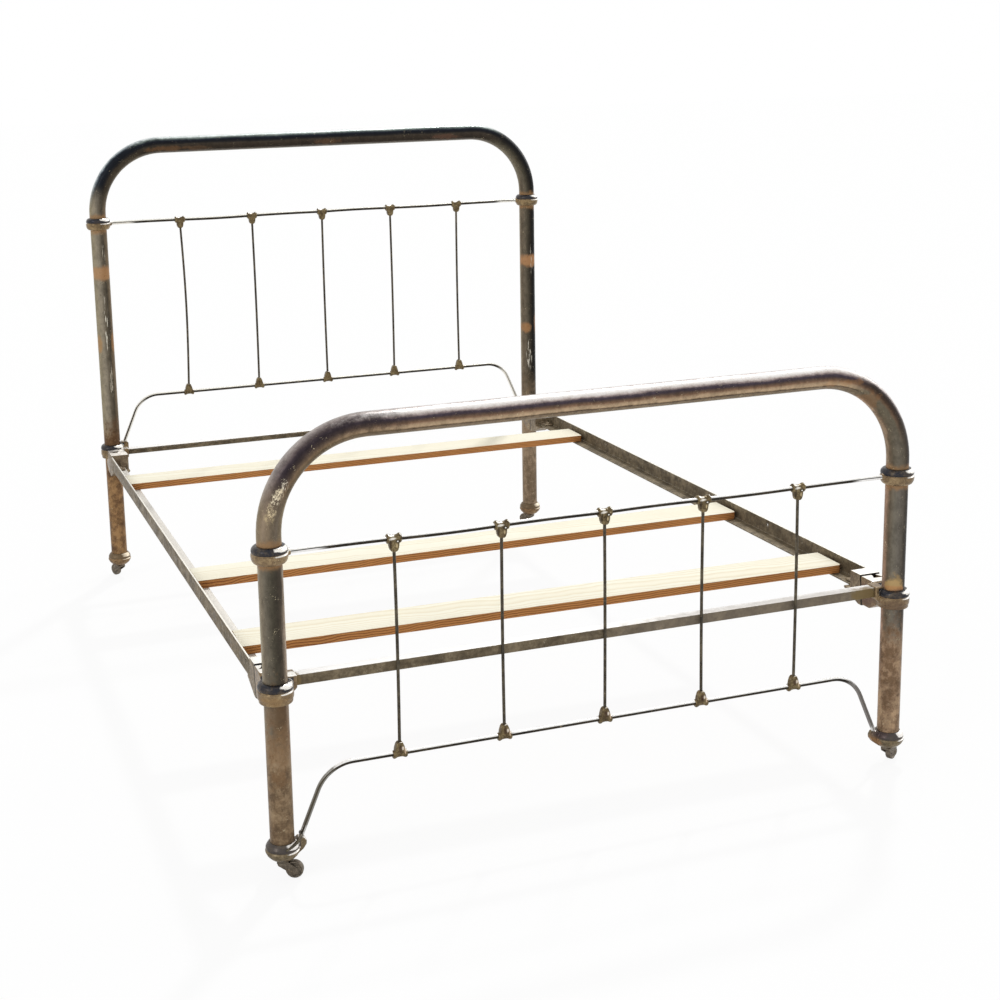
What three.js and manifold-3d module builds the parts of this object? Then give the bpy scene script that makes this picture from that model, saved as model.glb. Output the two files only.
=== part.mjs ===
// Wrought iron bed: two bent-tube ends with rod spindles, angle iron side rails hooked into
// corner castings, three loose slats and four casters. Millimetres, +Z up, X across the bed,
// Y along it with the foot end at -Y, origin on the floor under the middle of the bed.
import * as THREE from 'three';
import { mergeVertices } from 'three/addons/utils/BufferGeometryUtils.js';
import manifoldModule from 'manifold-3d';

const wasm = await manifoldModule();
wasm.setup();

// Bed layout
const POST_SPACING = 1372;
const BED_LENGTH = 2008;
const GAP = 0.3;

// Bent tubes that make the posts and the top rails
const TUBE_RADIUS = 23.8;
const TUBE_WALL = 2;
const TUBE_SIDES = 20;
const TUBE_BORE_SIDES = 12;
const BEND_RADIUS = 195.5;
const BEND_STEPS = 7;
const POST_BOTTOM_Z = 56;
const FOOT_RAIL_Z = 881.5;
const HEAD_RAIL_Z = 1311.5;

// Filler rods, thinner spindles between them, and their cast knuckles
const ROD_RADIUS = 4.75;
const SPINDLE_RADIUS = 3.2;
const ROD_SIDES = 8;
const FOOT_TOP_ROD_DROP = 228.5;
const HEAD_TOP_ROD_DROP = 223.5;
const FOOT_BOTTOM_ROD_Z = 215;
const HEAD_BOTTOM_ROD_Z = 560;
const SPINDLE_SPACING = 221.5;
const SPINDLE_COUNT = 5;
const KNUCKLE_LENGTH = 30;
const KNUCKLE_FLARE_RADIUS = 10;
const KNUCKLE_WAIST_RADIUS = 8;
const KNUCKLE_DEPTH = 14;
const KNUCKLE_REACH = 26;

// Bottom rods run level, bend down and slope into a casting at each end
const ROD_DROP = 137;
const ROD_BEND_RADIUS = 78;
const ROD_BEND_STEPS = 6;
const ROD_SLOPE = 2.35;
const ROD_ENTRY_INSET = 37;
const ROD_INSERT = 11;

// Collars where the top rods meet the posts
const COLLAR_RADIUS = 35.6;
const COLLAR_HEIGHT = 34.5;
const COLLAR_DROP = 17;
const TOP_ROD_INSERT = 12;
const COLLAR_SEGMENTS = 16;
const COLLAR_CORE_RADIUS = 20;

// Corner castings on the posts; the rings of the head end sit higher
const CASTING_BASE_Z = 362;
const CASTING_HEIGHT = 40.5;
const CASTING_RADIUS = 34.9;
const HEAD_RING_LIFT = 17;
const SOCKET_WIDTH = 50;
const SOCKET_TOP_Z = 408;
const SOCKET_BOTTOM_Z = 344;
const SOCKET_REACH_TOP = 96;
const SOCKET_REACH_BOTTOM = 82;
const SOCKET_FLOOR_START = 46;
const LUG_TOP_Z = 407.5;
const LUG_BOTTOM_Z = 376;
const LUG_REACH = 43;
const LUG_POCKET = 14;
const LUG_WALL = 2.8;

// Upper block of a head casting, which takes the end of the bottom rod
const ROD_BLOCK_REACH = 47.5;
const ROD_BLOCK_DEPTH = 22;
const ROD_BLOCK_BOTTOM_Z = 400;
const ROD_BLOCK_TOP_Z = 426;

// Dovetail of the rail hooks, wide at the top and narrow at the bottom
const TONGUE_DEPTH = 16;
const TONGUE_NECK = 11;
const TONGUE_HEAD = 22;
const TONGUE_TAPER = 0.78;
const TONGUE_BOTTOM_Z = 352;

// Angle irons
const RAIL_SIZE = 38;
const RAIL_THICKNESS = 4;
const RAIL_BOTTOM_Z = 368;
const RAIL_OUTSET = 22;
const RAIL_END_INSET = 119;
const CROSS_RAIL_HEIGHT = 21;
const CROSS_RAIL_DEPTH = 25;
const CROSS_RAIL_TOP_Z = 405;
const CROSS_RAIL_OFFSET = 6.2;
const RIVET_HOLE_RADIUS = 4.5;
const RAIL_HOLE_SPACING = 920;

// Hook castings on the rail ends
const HOOK_TOP_Z = 410;
const HOOK_BOTTOM_Z = 341;
const HOOK_GUSSET = 24;
const HOOK_TAB_LENGTH = 42;
const HOOK_TAB_THICKNESS = 5;
const HOOK_BOLT_INSET = 13;

// Slats, placed by the distance of their middle line from the nearer bed end
const SLAT_END_PLAY = 8;
const SLAT_WIDTH = 101;
const SLAT_THICKNESS = 19;
const SLAT_CORNER = 9;
const SLAT_1_FROM_HEAD = 347;
const SLAT_2_FROM_FOOT = 732;
const SLAT_3_FROM_FOOT = 270;
const SLAT_3_DEGREES = -1;

// Post feet and casters
const FOOT_BOTTOM_Z = 37;
const FOOT_TOP_Z = 77;
const FOOT_RADIUS = 34.2;
const FOOT_EAR_REACH = 47.5;
const FOOT_EAR_DEPTH = 17;
const STEM_RADIUS = 5;
const STEM_TOP_Z = 92;
const WHEEL_RADIUS = 17.5;
const WHEEL_WIDTH = 14;
const WHEEL_SEGMENTS = 16;
const AXLE_RADIUS = 3;
const CASTER_TRAIL = 22;
const CHEEK_THICKNESS = 3;
const CHEEK_GAP = 0.8;
const CASTER_HEADINGS = {
  foot_left: -24,
  foot_right: 32,
  head_left: 118,
  head_right: 122,
};

const HALF_SPACING = POST_SPACING / 2;
const HALF_LENGTH = BED_LENGTH / 2;
const SLAT_BOTTOM_Z = RAIL_BOTTOM_Z + RAIL_THICKNESS + GAP;
const SLAT_LENGTH = 2 * (HALF_SPACING + RAIL_OUTSET - RAIL_THICKNESS - SLAT_END_PLAY);

const CORNERS = [
  { name: 'foot_left', x: -1, y: -1 },
  { name: 'foot_right', x: 1, y: -1 },
  { name: 'head_left', x: -1, y: 1 },
  { name: 'head_right', x: 1, y: 1 },
];

const ENDS = [
  {
    name: 'foot',
    y: -HALF_LENGTH,
    inward: 1,
    railZ: FOOT_RAIL_Z,
    topRodZ: FOOT_RAIL_Z - FOOT_TOP_ROD_DROP,
    bottomRodZ: FOOT_BOTTOM_ROD_Z,
  },
  {
    name: 'head',
    y: HALF_LENGTH,
    inward: -1,
    railZ: HEAD_RAIL_Z,
    topRodZ: HEAD_RAIL_Z - HEAD_TOP_ROD_DROP,
    bottomRodZ: HEAD_BOTTOM_ROD_Z,
  },
];

const MATERIALS = {
  tube: { color: 0x3a3431, roughness: 0.42, metalness: 0.75 },
  rod: { color: 0x4b4136, roughness: 0.45, metalness: 0.7 },
  casting: { color: 0x6d5c47, roughness: 0.4, metalness: 0.75 },
  angle: { color: 0x6d665c, roughness: 0.6, metalness: 0.6 },
  pine: { color: 0xe3cfa6, roughness: 0.75, metalness: 0 },
  caster: { color: 0x6a5b4a, roughness: 0.5, metalness: 0.7 },
  wheel: { color: 0x57504a, roughness: 0.45, metalness: 0.65 },
};

const SLATS = [
  { name: 'slat_1', y: HALF_LENGTH - SLAT_1_FROM_HEAD, turn: 0 },
  { name: 'slat_2', y: -HALF_LENGTH + SLAT_2_FROM_FOOT, turn: 0 },
  { name: 'slat_3', y: -HALF_LENGTH + SLAT_3_FROM_FOOT, turn: SLAT_3_DEGREES },
];

const bed = new THREE.Group();
bed.name = 'wrought_iron_bed';

// Signed volume of a closed triangle mesh
function signedVolume(positions, index) {
  const a = new THREE.Vector3();
  const b = new THREE.Vector3();
  const c = new THREE.Vector3();
  let sum = 0;
  for (let i = 0; i < index.length; i += 3) {
    a.fromArray(positions, index[i] * 3);
    b.fromArray(positions, index[i + 1] * 3);
    c.fromArray(positions, index[i + 2] * 3);
    sum += a.dot(b.cross(c));
  }
  return sum / 6;
}

// Closed solid from a geometry: welded corners, no collapsed triangles, faces outward
function solid(geometry) {
  const plain = geometry.clone();
  plain.deleteAttribute('normal');
  plain.deleteAttribute('uv');
  const welded = mergeVertices(plain, 1e-3);
  const positions = new Float32Array(welded.attributes.position.array);
  const source = welded.index.array;
  const index = [];
  for (let i = 0; i < source.length; i += 3) {
    const [a, b, c] = [source[i], source[i + 1], source[i + 2]];
    if (a !== b && b !== c && c !== a) {
      index.push(a, b, c);
    }
  }
  if (signedVolume(positions, index) < 0) {
    index.reverse();
  }
  return new wasm.Manifold(new wasm.Mesh({
    numProp: 3,
    vertProperties: positions,
    triVerts: new Uint32Array(index),
  }));
}

function join(parts) {
  return parts.reduce((sum, part) => sum.add(part));
}

function cut(body, tools) {
  return tools.reduce((rest, tool) => rest.subtract(tool), body);
}

// Nested place for pieces that share an origin, turned about the upright by a heading in degrees
function placeOn(parent, x, y, heading = 0) {
  const place = new THREE.Group();
  place.position.set(x, y, 0);
  place.rotation.z = THREE.MathUtils.degToRad(heading);
  parent.add(place);
  return place;
}

// Adds one named piece to its place and returns it, so that it can be moved there
function addPiece(place, name, body, finish) {
  const mesh = body.getMesh();
  const geometry = new THREE.BufferGeometry();
  geometry.setAttribute('position', new THREE.BufferAttribute(mesh.vertProperties, 3));
  geometry.setIndex(new THREE.BufferAttribute(mesh.triVerts, 1));
  geometry.computeVertexNormals();
  const piece = new THREE.Mesh(geometry, new THREE.MeshStandardMaterial(MATERIALS[finish]));
  piece.name = name;
  place.add(piece);
  return piece;
}

// Corner-local solids have +X toward the middle of the bed end and +Y toward the mattress;
// this mirrors one for its own corner.
function handed(body, corner) {
  return body.scale([-corner.x, -corner.y, 1]);
}

function ringPoints(radius, sides) {
  const points = [];
  for (let i = 0; i < sides; i += 1) {
    const angle = (i / sides) * Math.PI * 2;
    points.push(new THREE.Vector2(radius * Math.cos(angle), radius * Math.sin(angle)));
  }
  return points;
}

// Turned solid about Z from [radius, z] points
function turned(profile, segments) {
  const points = profile.map(([radius, z]) => new THREE.Vector2(radius, z));
  points.push(points[0].clone());
  const geometry = new THREE.LatheGeometry(points, segments);
  geometry.rotateX(Math.PI / 2);
  return solid(geometry);
}

function cylinder(radius, bottom, top, sides) {
  const geometry = new THREE.CylinderGeometry(radius, radius, top - bottom, sides);
  geometry.rotateX(Math.PI / 2);
  geometry.translate(0, 0, (top + bottom) / 2);
  return solid(geometry);
}

function box(low, high) {
  const size = high.map((value, axis) => value - low[axis]);
  const geometry = new THREE.BoxGeometry(...size);
  geometry.translate(...low.map((value, axis) => value + size[axis] / 2));
  return solid(geometry);
}

// Plate with its outline given in X and Z, thick along Y
function plateXZ(outline, low, high) {
  const shape = new THREE.Shape(outline.map(([x, z]) => new THREE.Vector2(x, z)));
  const geometry = new THREE.ExtrudeGeometry(shape, { depth: high - low, bevelEnabled: false });
  geometry.rotateX(Math.PI / 2);
  geometry.translate(0, high, 0);
  return solid(geometry);
}

// Plate with its outline given in Y and Z, thick along X
function plateYZ(outline, low, high) {
  return plateXZ(outline.map(([y, z]) => [y, z]), low, high).rotate([0, 0, 90]).scale([-1, 1, 1]);
}

// Path through given stations, so that a sweep has one ring at each of them
class StationPath extends THREE.Curve {
  constructor(stations) {
    super();
    this.stations = stations;
  }

  station(u) {
    return this.stations[Math.round(u * (this.stations.length - 1))];
  }

  getPointAt(u) {
    return this.station(u).point.clone();
  }

  getTangentAt(u) {
    return this.station(u).tangent.clone();
  }
}

// Stations of a path that goes up one side, bends, crosses over and comes down the other side.
// The sides lean by the given angle from level; 90 degrees makes upright posts.
function hoopStations(halfWidth, topZ, bendRadius, leanAngle, sideLength, steps) {
  const right = [];
  const bendStart = halfWidth;
  for (let i = 0; i <= steps; i += 1) {
    const angle = (leanAngle * i) / steps;
    right.push({
      point: new THREE.Vector3(
        bendStart + bendRadius * Math.sin(angle),
        0,
        topZ - bendRadius * (1 - Math.cos(angle)),
      ),
      tangent: new THREE.Vector3(Math.cos(angle), 0, -Math.sin(angle)),
    });
  }
  const last = right[right.length - 1];
  right.push({
    point: last.point.clone().addScaledVector(last.tangent, sideLength),
    tangent: last.tangent.clone(),
  });
  const left = right.map(({ point, tangent }) => ({
    point: new THREE.Vector3(-point.x, 0, point.z),
    tangent: new THREE.Vector3(tangent.x, 0, -tangent.z),
  }));
  return [...left.reverse(), ...right];
}

function sweep(stations, outline, hole) {
  const shape = new THREE.Shape(outline);
  if (hole) {
    shape.holes.push(new THREE.Path(hole));
  }
  const geometry = new THREE.ExtrudeGeometry(shape, {
    steps: stations.length - 1,
    extrudePath: new StationPath(stations),
    bevelEnabled: false,
  });
  return solid(geometry);
}

// One continuous tube: left post, bend, top rail, bend, right post
function addArch(place, end) {
  const sideLength = end.railZ - BEND_RADIUS - POST_BOTTOM_Z;
  const stations = hoopStations(
    HALF_SPACING - BEND_RADIUS,
    end.railZ,
    BEND_RADIUS,
    Math.PI / 2,
    sideLength,
    BEND_STEPS,
  );
  const outer = ringPoints(TUBE_RADIUS, TUBE_SIDES);
  const inner = ringPoints(TUBE_RADIUS - TUBE_WALL, TUBE_BORE_SIDES);
  addPiece(place, `${end.name}_arch_tube`, sweep(stations, outer, inner), 'tube');
}

function postBore(bottom, top) {
  return cylinder((TUBE_RADIUS + GAP) / Math.cos(Math.PI / TUBE_SIDES), bottom, top, TUBE_SIDES);
}

// Cast collar: bell below, groove, domed ring above, and a small ear for the rod end
function addCollar(place, corner, end) {
  const low = -COLLAR_DROP;
  const high = low + COLLAR_HEIGHT;
  const ring = turned([
    [COLLAR_CORE_RADIUS, low],
    [COLLAR_RADIUS - 8, low],
    [COLLAR_RADIUS - 4, low + 2.5],
    [COLLAR_RADIUS - 1, low + 8],
    [COLLAR_RADIUS, low + 14],
    [COLLAR_RADIUS - 0.4, low + 18.5],
    [COLLAR_RADIUS - 2.2, low + 19.5],
    [COLLAR_RADIUS - 2.2, low + 20.8],
    [COLLAR_RADIUS - 0.8, low + 22],
    [COLLAR_RADIUS - 1, high - 8.5],
    [COLLAR_RADIUS - 3.6, high - 3.5],
    [COLLAR_RADIUS - 8.6, high],
    [COLLAR_CORE_RADIUS, high],
  ], COLLAR_SEGMENTS);
  const earGeometry = new THREE.CylinderGeometry(6.6, 9.4, 14, 8);
  earGeometry.rotateZ(-Math.PI / 2);
  earGeometry.translate(COLLAR_RADIUS - 3, 0, 0);
  const rodBore = rodRoom(ROD_RADIUS, 0, 30).rotate([0, 90, 0])
    .translate([HALF_SPACING - topRodHalfLength() - GAP, 0, 0]);
  const body = cut(join([ring, solid(earGeometry)]), [postBore(low - 5, high + 5), rodBore]);
  const side = corner.x < 0 ? 'left' : 'right';
  const collar = addPiece(place, `${end.name}_collar_${side}`, handed(body, corner), 'casting');
  collar.position.z = end.topRodZ;
}

function topRodHalfLength() {
  return HALF_SPACING - COLLAR_RADIUS - 4 + TOP_ROD_INSERT;
}

function addTopRod(place, end) {
  const half = topRodHalfLength();
  const body = cylinder(ROD_RADIUS, -half, half, ROD_SIDES).rotate([0, 90, 0]);
  const rod = addPiece(place, `${end.name}_top_rod`, body, 'rod');
  rod.position.z = end.topRodZ;
}

// Middle line of a bottom rod, at the height of its level run
function bottomRodStations() {
  const lean = Math.atan(ROD_SLOPE);
  const entryX = HALF_SPACING - ROD_ENTRY_INSET;
  const cornerX = entryX - ROD_DROP / ROD_SLOPE;
  const setback = ROD_BEND_RADIUS * Math.tan(lean / 2);
  const slopeLength = ROD_DROP / Math.sin(lean) - setback + ROD_INSERT;
  return hoopStations(cornerX - setback, 0, ROD_BEND_RADIUS, lean, slopeLength, ROD_BEND_STEPS);
}

function addBottomRod(place, end) {
  const body = sweep(bottomRodStations(), ringPoints(ROD_RADIUS, ROD_SIDES));
  const rod = addPiece(place, `${end.name}_bottom_rod`, body, 'rod');
  rod.position.z = end.bottomRodZ;
}

// Puts an upright solid on the sloping end of a bottom rod, in corner-local millimetres
function alongRodEnd(body, entryZ) {
  const lean = THREE.MathUtils.radToDeg(Math.atan(ROD_SLOPE));
  return body.rotate([0, 90 - lean, 0]).translate([ROD_ENTRY_INSET, 0, entryZ]);
}

function bottomRodBore(entryZ) {
  return alongRodEnd(rodRoom(ROD_RADIUS, -ROD_INSERT - GAP * 2, 30), entryZ);
}

// Saddle of a knuckle: a flared spool around the horizontal rod
function knuckleSaddle() {
  const half = KNUCKLE_LENGTH / 2;
  return turned([
    [0, -half],
    [KNUCKLE_FLARE_RADIUS, -half],
    [KNUCKLE_WAIST_RADIUS, -half + 9],
    [KNUCKLE_WAIST_RADIUS, half - 9],
    [KNUCKLE_FLARE_RADIUS, half],
    [0, half],
  ], ROD_SIDES).rotate([0, 90, 0]);
}

// Room for a rod of the given radius, from one height to another
function rodRoom(radius, bottom, top) {
  return cylinder((radius + GAP) / Math.cos(Math.PI / ROD_SIDES), bottom, top, ROD_SIDES);
}

function rodBoreAlongX() {
  return rodRoom(ROD_RADIUS, -KNUCKLE_LENGTH, KNUCKLE_LENGTH).rotate([0, 90, 0]);
}

// Upper knuckle: saddle with a shield-shaped tooth pointing down and a socket for the spindle
function addUpperKnuckle(place, end, number, x) {
  const tooth = plateXZ([
    [-12, 0],
    [-10.4, -9],
    [-9.4, -18],
    [-7.6, -KNUCKLE_REACH + 3],
    [-4.6, -KNUCKLE_REACH],
    [4.6, -KNUCKLE_REACH],
    [7.6, -KNUCKLE_REACH + 3],
    [9.4, -18],
    [10.4, -9],
    [12, 0],
  ], -KNUCKLE_DEPTH / 2, KNUCKLE_DEPTH / 2);
  const socket = rodRoom(SPINDLE_RADIUS, -KNUCKLE_REACH - 5, -ROD_RADIUS + 0.5);
  const body = cut(join([knuckleSaddle(), tooth]), [rodBoreAlongX(), socket]);
  const knuckle = addPiece(place, `${end.name}_knuckle_${number}`, body, 'casting');
  knuckle.position.set(x, 0, end.topRodZ);
}

// Spindle with its lower knuckle cast on: the saddle sits on the bottom rod
function addSpindle(place, end, number, x) {
  const length = end.topRodZ - end.bottomRodZ - ROD_RADIUS - GAP * 2;
  const tooth = plateXZ([
    [-12, 0],
    [12, 0],
    [10.6, 7],
    [8.8, 15],
    [5.4, KNUCKLE_REACH - 3],
    [4.2, KNUCKLE_REACH - 2],
    [-4.2, KNUCKLE_REACH - 2],
    [-7.4, KNUCKLE_REACH - 6],
    [-10, 12],
  ], -KNUCKLE_DEPTH / 2, KNUCKLE_DEPTH / 2);
  const rod = cylinder(SPINDLE_RADIUS, KNUCKLE_WAIST_RADIUS - 2, length, ROD_SIDES);
  const body = cut(join([knuckleSaddle(), tooth, rod]), [rodBoreAlongX()]);
  const spindle = addPiece(place, `${end.name}_spindle_${number}`, body, 'rod');
  spindle.position.set(x, 0, end.bottomRodZ);
}

// Section of an angle iron as an outline: a foot of the given width and an upright leg
function angleOutline(width, height, thickness) {
  const toe = thickness * 0.4;
  return [
    [0, 0],
    [width, 0],
    [width, thickness - toe],
    [width - toe, thickness],
    [thickness + toe, thickness],
    [thickness, thickness + toe],
    [thickness, height - toe],
    [thickness - toe, height],
    [0, height],
  ];
}

// Dovetail of a rail hook in corner-local millimetres, grown by a clearance for its socket
function dovetail(clearance, top) {
  const neck = TONGUE_NECK / 2 + clearance;
  const head = TONGUE_HEAD / 2 + clearance;
  const front = -TONGUE_DEPTH - clearance;
  const shape = new THREE.Shape([
    new THREE.Vector2(-neck, 12),
    new THREE.Vector2(-neck, -1),
    new THREE.Vector2(-head, front + 3),
    new THREE.Vector2(-head, front),
    new THREE.Vector2(head, front),
    new THREE.Vector2(head, front + 3),
    new THREE.Vector2(neck, -1),
    new THREE.Vector2(neck, 12),
  ]);
  const bottom = TONGUE_BOTTOM_Z - clearance;
  const geometry = new THREE.ExtrudeGeometry(shape, { depth: top - bottom, bevelEnabled: false });
  const positions = geometry.attributes.position;
  for (let i = 0; i < positions.count; i += 1) {
    const rise = (bottom + positions.getZ(i) - TONGUE_BOTTOM_Z) / (SOCKET_TOP_Z - TONGUE_BOTTOM_Z);
    const narrowing = TONGUE_TAPER + (1 - TONGUE_TAPER) * rise;
    positions.setX(i, positions.getX(i) * narrowing);
  }
  geometry.translate(-RAIL_OUTSET + RAIL_SIZE / 2, SOCKET_REACH_BOTTOM, bottom);
  return solid(geometry);
}

// Outline in Y and Z of the inclined joint face between socket and hook
function jointY(z, offset) {
  const rise = (z - SOCKET_BOTTOM_Z) / (SOCKET_TOP_Z - SOCKET_BOTTOM_Z);
  return SOCKET_REACH_BOTTOM + (SOCKET_REACH_TOP - SOCKET_REACH_BOTTOM) * rise + offset;
}

// Ring of a corner casting from its lower edge up: conical band, groove and domed shoulder
function castingRing(low) {
  const high = low + CASTING_HEIGHT;
  return turned([
    [COLLAR_CORE_RADIUS, low],
    [CASTING_RADIUS - 1.9, low],
    [CASTING_RADIUS, low + 22.8],
    [CASTING_RADIUS - 1.9, low + 24],
    [CASTING_RADIUS - 1.9, low + 25.4],
    [CASTING_RADIUS, low + 27],
    [CASTING_RADIUS, high - 9.5],
    [CASTING_RADIUS - 1.7, high - 4.5],
    [CASTING_RADIUS - 4.9, high - 1],
    [CASTING_RADIUS - 8.6, high],
    [COLLAR_CORE_RADIUS, high],
  ], COLLAR_SEGMENTS);
}

// Section of the cross rail end in corner-local Y and Z, grown by a clearance
function crossRailSection(clearance) {
  const back = CROSS_RAIL_OFFSET;
  const top = CROSS_RAIL_TOP_Z;
  return [
    [back - clearance, top - CROSS_RAIL_HEIGHT - clearance],
    [back + RAIL_THICKNESS + clearance, top - CROSS_RAIL_HEIGHT - clearance],
    [back + RAIL_THICKNESS + clearance, top - RAIL_THICKNESS - clearance],
    [back + CROSS_RAIL_DEPTH + clearance, top - RAIL_THICKNESS - clearance],
    [back + CROSS_RAIL_DEPTH + clearance, top + clearance],
    [back - clearance, top + clearance],
  ];
}

// Lug toward the other post, deep enough to wrap the end of the cross rail
function crossRailLug() {
  return plateXZ([
    [14, LUG_BOTTOM_Z],
    [LUG_REACH - 6, LUG_BOTTOM_Z],
    [LUG_REACH, LUG_BOTTOM_Z + 6],
    [LUG_REACH, LUG_TOP_Z - 1.5],
    [LUG_REACH - 1.5, LUG_TOP_Z],
    [22, LUG_TOP_Z],
    [14, LUG_TOP_Z - 12],
  ], 0, CROSS_RAIL_OFFSET + CROSS_RAIL_DEPTH + LUG_WALL);
}

// Upper block of a head casting, swept up from the ring to the end of the bottom rod
function rodBlock() {
  return plateXZ([
    [18, ROD_BLOCK_BOTTOM_Z - 8],
    [30, ROD_BLOCK_BOTTOM_Z],
    [ROD_BLOCK_REACH - 3, ROD_BLOCK_BOTTOM_Z],
    [ROD_BLOCK_REACH, ROD_BLOCK_BOTTOM_Z + 4],
    [ROD_BLOCK_REACH, ROD_BLOCK_TOP_Z - 4],
    [ROD_BLOCK_REACH - 4, ROD_BLOCK_TOP_Z],
    [31, ROD_BLOCK_TOP_Z],
    [26, ROD_BLOCK_TOP_Z - 4],
    [18, ROD_BLOCK_TOP_Z - 12],
  ], -ROD_BLOCK_DEPTH / 2, ROD_BLOCK_DEPTH / 2);
}

// Corner casting: post ring, dovetail socket for the side rail and pocketed lug for the cross rail
function addCornerCasting(place, corner) {
  const socketBlock = plateYZ([
    [16, SOCKET_BOTTOM_Z + 18],
    [SOCKET_FLOOR_START, SOCKET_BOTTOM_Z],
    [jointY(SOCKET_BOTTOM_Z, 0), SOCKET_BOTTOM_Z],
    [jointY(SOCKET_TOP_Z, 0), SOCKET_TOP_Z],
    [38, SOCKET_TOP_Z],
    [16, SOCKET_TOP_Z - 12],
  ], -RAIL_OUTSET, SOCKET_WIDTH - RAIL_OUTSET);
  const ringLift = corner.y > 0 ? HEAD_RING_LIFT : 0;
  const pocket = plateYZ(crossRailSection(GAP), LUG_REACH - LUG_POCKET, LUG_REACH + 5);
  const parts = [castingRing(CASTING_BASE_Z + ringLift), socketBlock, crossRailLug()];
  const tools = [postBore(SOCKET_BOTTOM_Z - 5, SOCKET_TOP_Z + 30), dovetail(GAP, SOCKET_TOP_Z + 5), pocket];
  const pinHole = cylinder(2.4, SOCKET_TOP_Z - 9, SOCKET_TOP_Z + 4, 8);
  tools.push(pinHole.translate([-15, SOCKET_REACH_BOTTOM - 24, 0]));
  if (corner.y > 0) {
    parts.push(rodBlock());
    tools.push(bottomRodBore(HEAD_BOTTOM_ROD_Z - ROD_DROP));
  }
  const body = handed(cut(join(parts), tools), corner);
  addPiece(place, `corner_casting_${corner.name}`, body, 'casting');
}

// Hook casting on a side rail end: wedge tongue, inclined face, gusset and riveted tab
function addRailHook(place, corner) {
  const back = RAIL_END_INSET - GAP;
  const body = plateYZ([
    [jointY(HOOK_BOTTOM_Z, 1), HOOK_BOTTOM_Z],
    [jointY(HOOK_BOTTOM_Z, 15), HOOK_BOTTOM_Z],
    [back + HOOK_GUSSET, RAIL_BOTTOM_Z - 5],
    [back + HOOK_GUSSET, RAIL_BOTTOM_Z - GAP],
    [back, RAIL_BOTTOM_Z - GAP],
    [back, HOOK_TOP_Z],
    [jointY(HOOK_TOP_Z, 1), HOOK_TOP_Z],
  ], -RAIL_OUTSET, SOCKET_WIDTH - RAIL_OUTSET);
  const inside = RAIL_THICKNESS * 1.4 + GAP * 2;
  const tab = box(
    [-RAIL_OUTSET + inside, back - 4, RAIL_BOTTOM_Z + RAIL_THICKNESS + GAP],
    [RAIL_SIZE - RAIL_OUTSET - 4, back + HOOK_TAB_LENGTH,
      RAIL_BOTTOM_Z + RAIL_THICKNESS + GAP + HOOK_TAB_THICKNESS],
  );
  const tongue = dovetail(0, SOCKET_TOP_Z - 2);
  const hole = cylinder(RIVET_HOLE_RADIUS, RAIL_BOTTOM_Z, RAIL_BOTTOM_Z + 20, 8)
    .translate([-RAIL_OUTSET + RAIL_SIZE / 2, RAIL_END_INSET + HOOK_TAB_LENGTH - HOOK_BOLT_INSET, 0]);
  const hook = handed(cut(join([body, tongue, tab]), [hole]), corner);
  addPiece(place, `rail_hook_${corner.name}`, hook, 'angle');
}

// Side rail: angle iron with the upright leg outside, punched for bolts in both legs
function addSideRail(side, name) {
  const half = HALF_LENGTH - RAIL_END_INSET;
  const outline = angleOutline(RAIL_SIZE, RAIL_SIZE, RAIL_THICKNESS)
    .map(([x, z]) => [x - RAIL_OUTSET, z]);
  const bolt = half - HOOK_TAB_LENGTH + HOOK_BOLT_INSET;
  const holes = [];
  for (const y of [-bolt, -RAIL_HOLE_SPACING / 2, RAIL_HOLE_SPACING / 2, bolt]) {
    const upright = cylinder(RIVET_HOLE_RADIUS, -RAIL_THICKNESS, RAIL_THICKNESS * 2, 8);
    holes.push(upright.rotate([0, 90, 0]).translate([-RAIL_OUTSET, y, RAIL_SIZE * 0.66]));
  }
  for (const y of [-bolt, bolt]) {
    const level = cylinder(RIVET_HOLE_RADIUS, -RAIL_THICKNESS, RAIL_THICKNESS * 2, 8);
    holes.push(level.translate([-RAIL_OUTSET + RAIL_SIZE / 2, y, 0]));
  }
  const body = cut(plateXZ(outline, -half, half), holes).scale([-side, 1, 1]);
  const rail = addPiece(bed, `side_rail_${name}`, body, 'angle');
  rail.position.set(side * HALF_SPACING, 0, RAIL_BOTTOM_Z);
}

// Cross rail: angle iron between the lugs of two corner castings
function addCrossRail(place, end) {
  const half = HALF_SPACING - LUG_REACH + LUG_POCKET - GAP;
  const rail = plateYZ(crossRailSection(0), -half, half).scale([1, end.inward, 1]);
  addPiece(place, `${end.name}_cross_rail`, rail, 'angle');
}

// Slat: plain board with softened corners at one end
function addSlat({ name, y, turn }) {
  const half = SLAT_LENGTH / 2;
  const side = SLAT_WIDTH / 2;
  const shape = new THREE.Shape();
  shape.moveTo(-half, -side);
  shape.lineTo(half - SLAT_CORNER, -side);
  shape.absarc(half - SLAT_CORNER, -side + SLAT_CORNER, SLAT_CORNER, -Math.PI / 2, 0, false);
  shape.lineTo(half, side - 3);
  shape.lineTo(half - 3, side);
  shape.lineTo(-half, side);
  const geometry = new THREE.ExtrudeGeometry(shape, {
    depth: SLAT_THICKNESS,
    bevelEnabled: false,
    curveSegments: 4,
  });
  const board = addPiece(placeOn(bed, 0, y, turn), name, solid(geometry), 'pine');
  board.position.z = SLAT_BOTTOM_Z;
}

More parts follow.
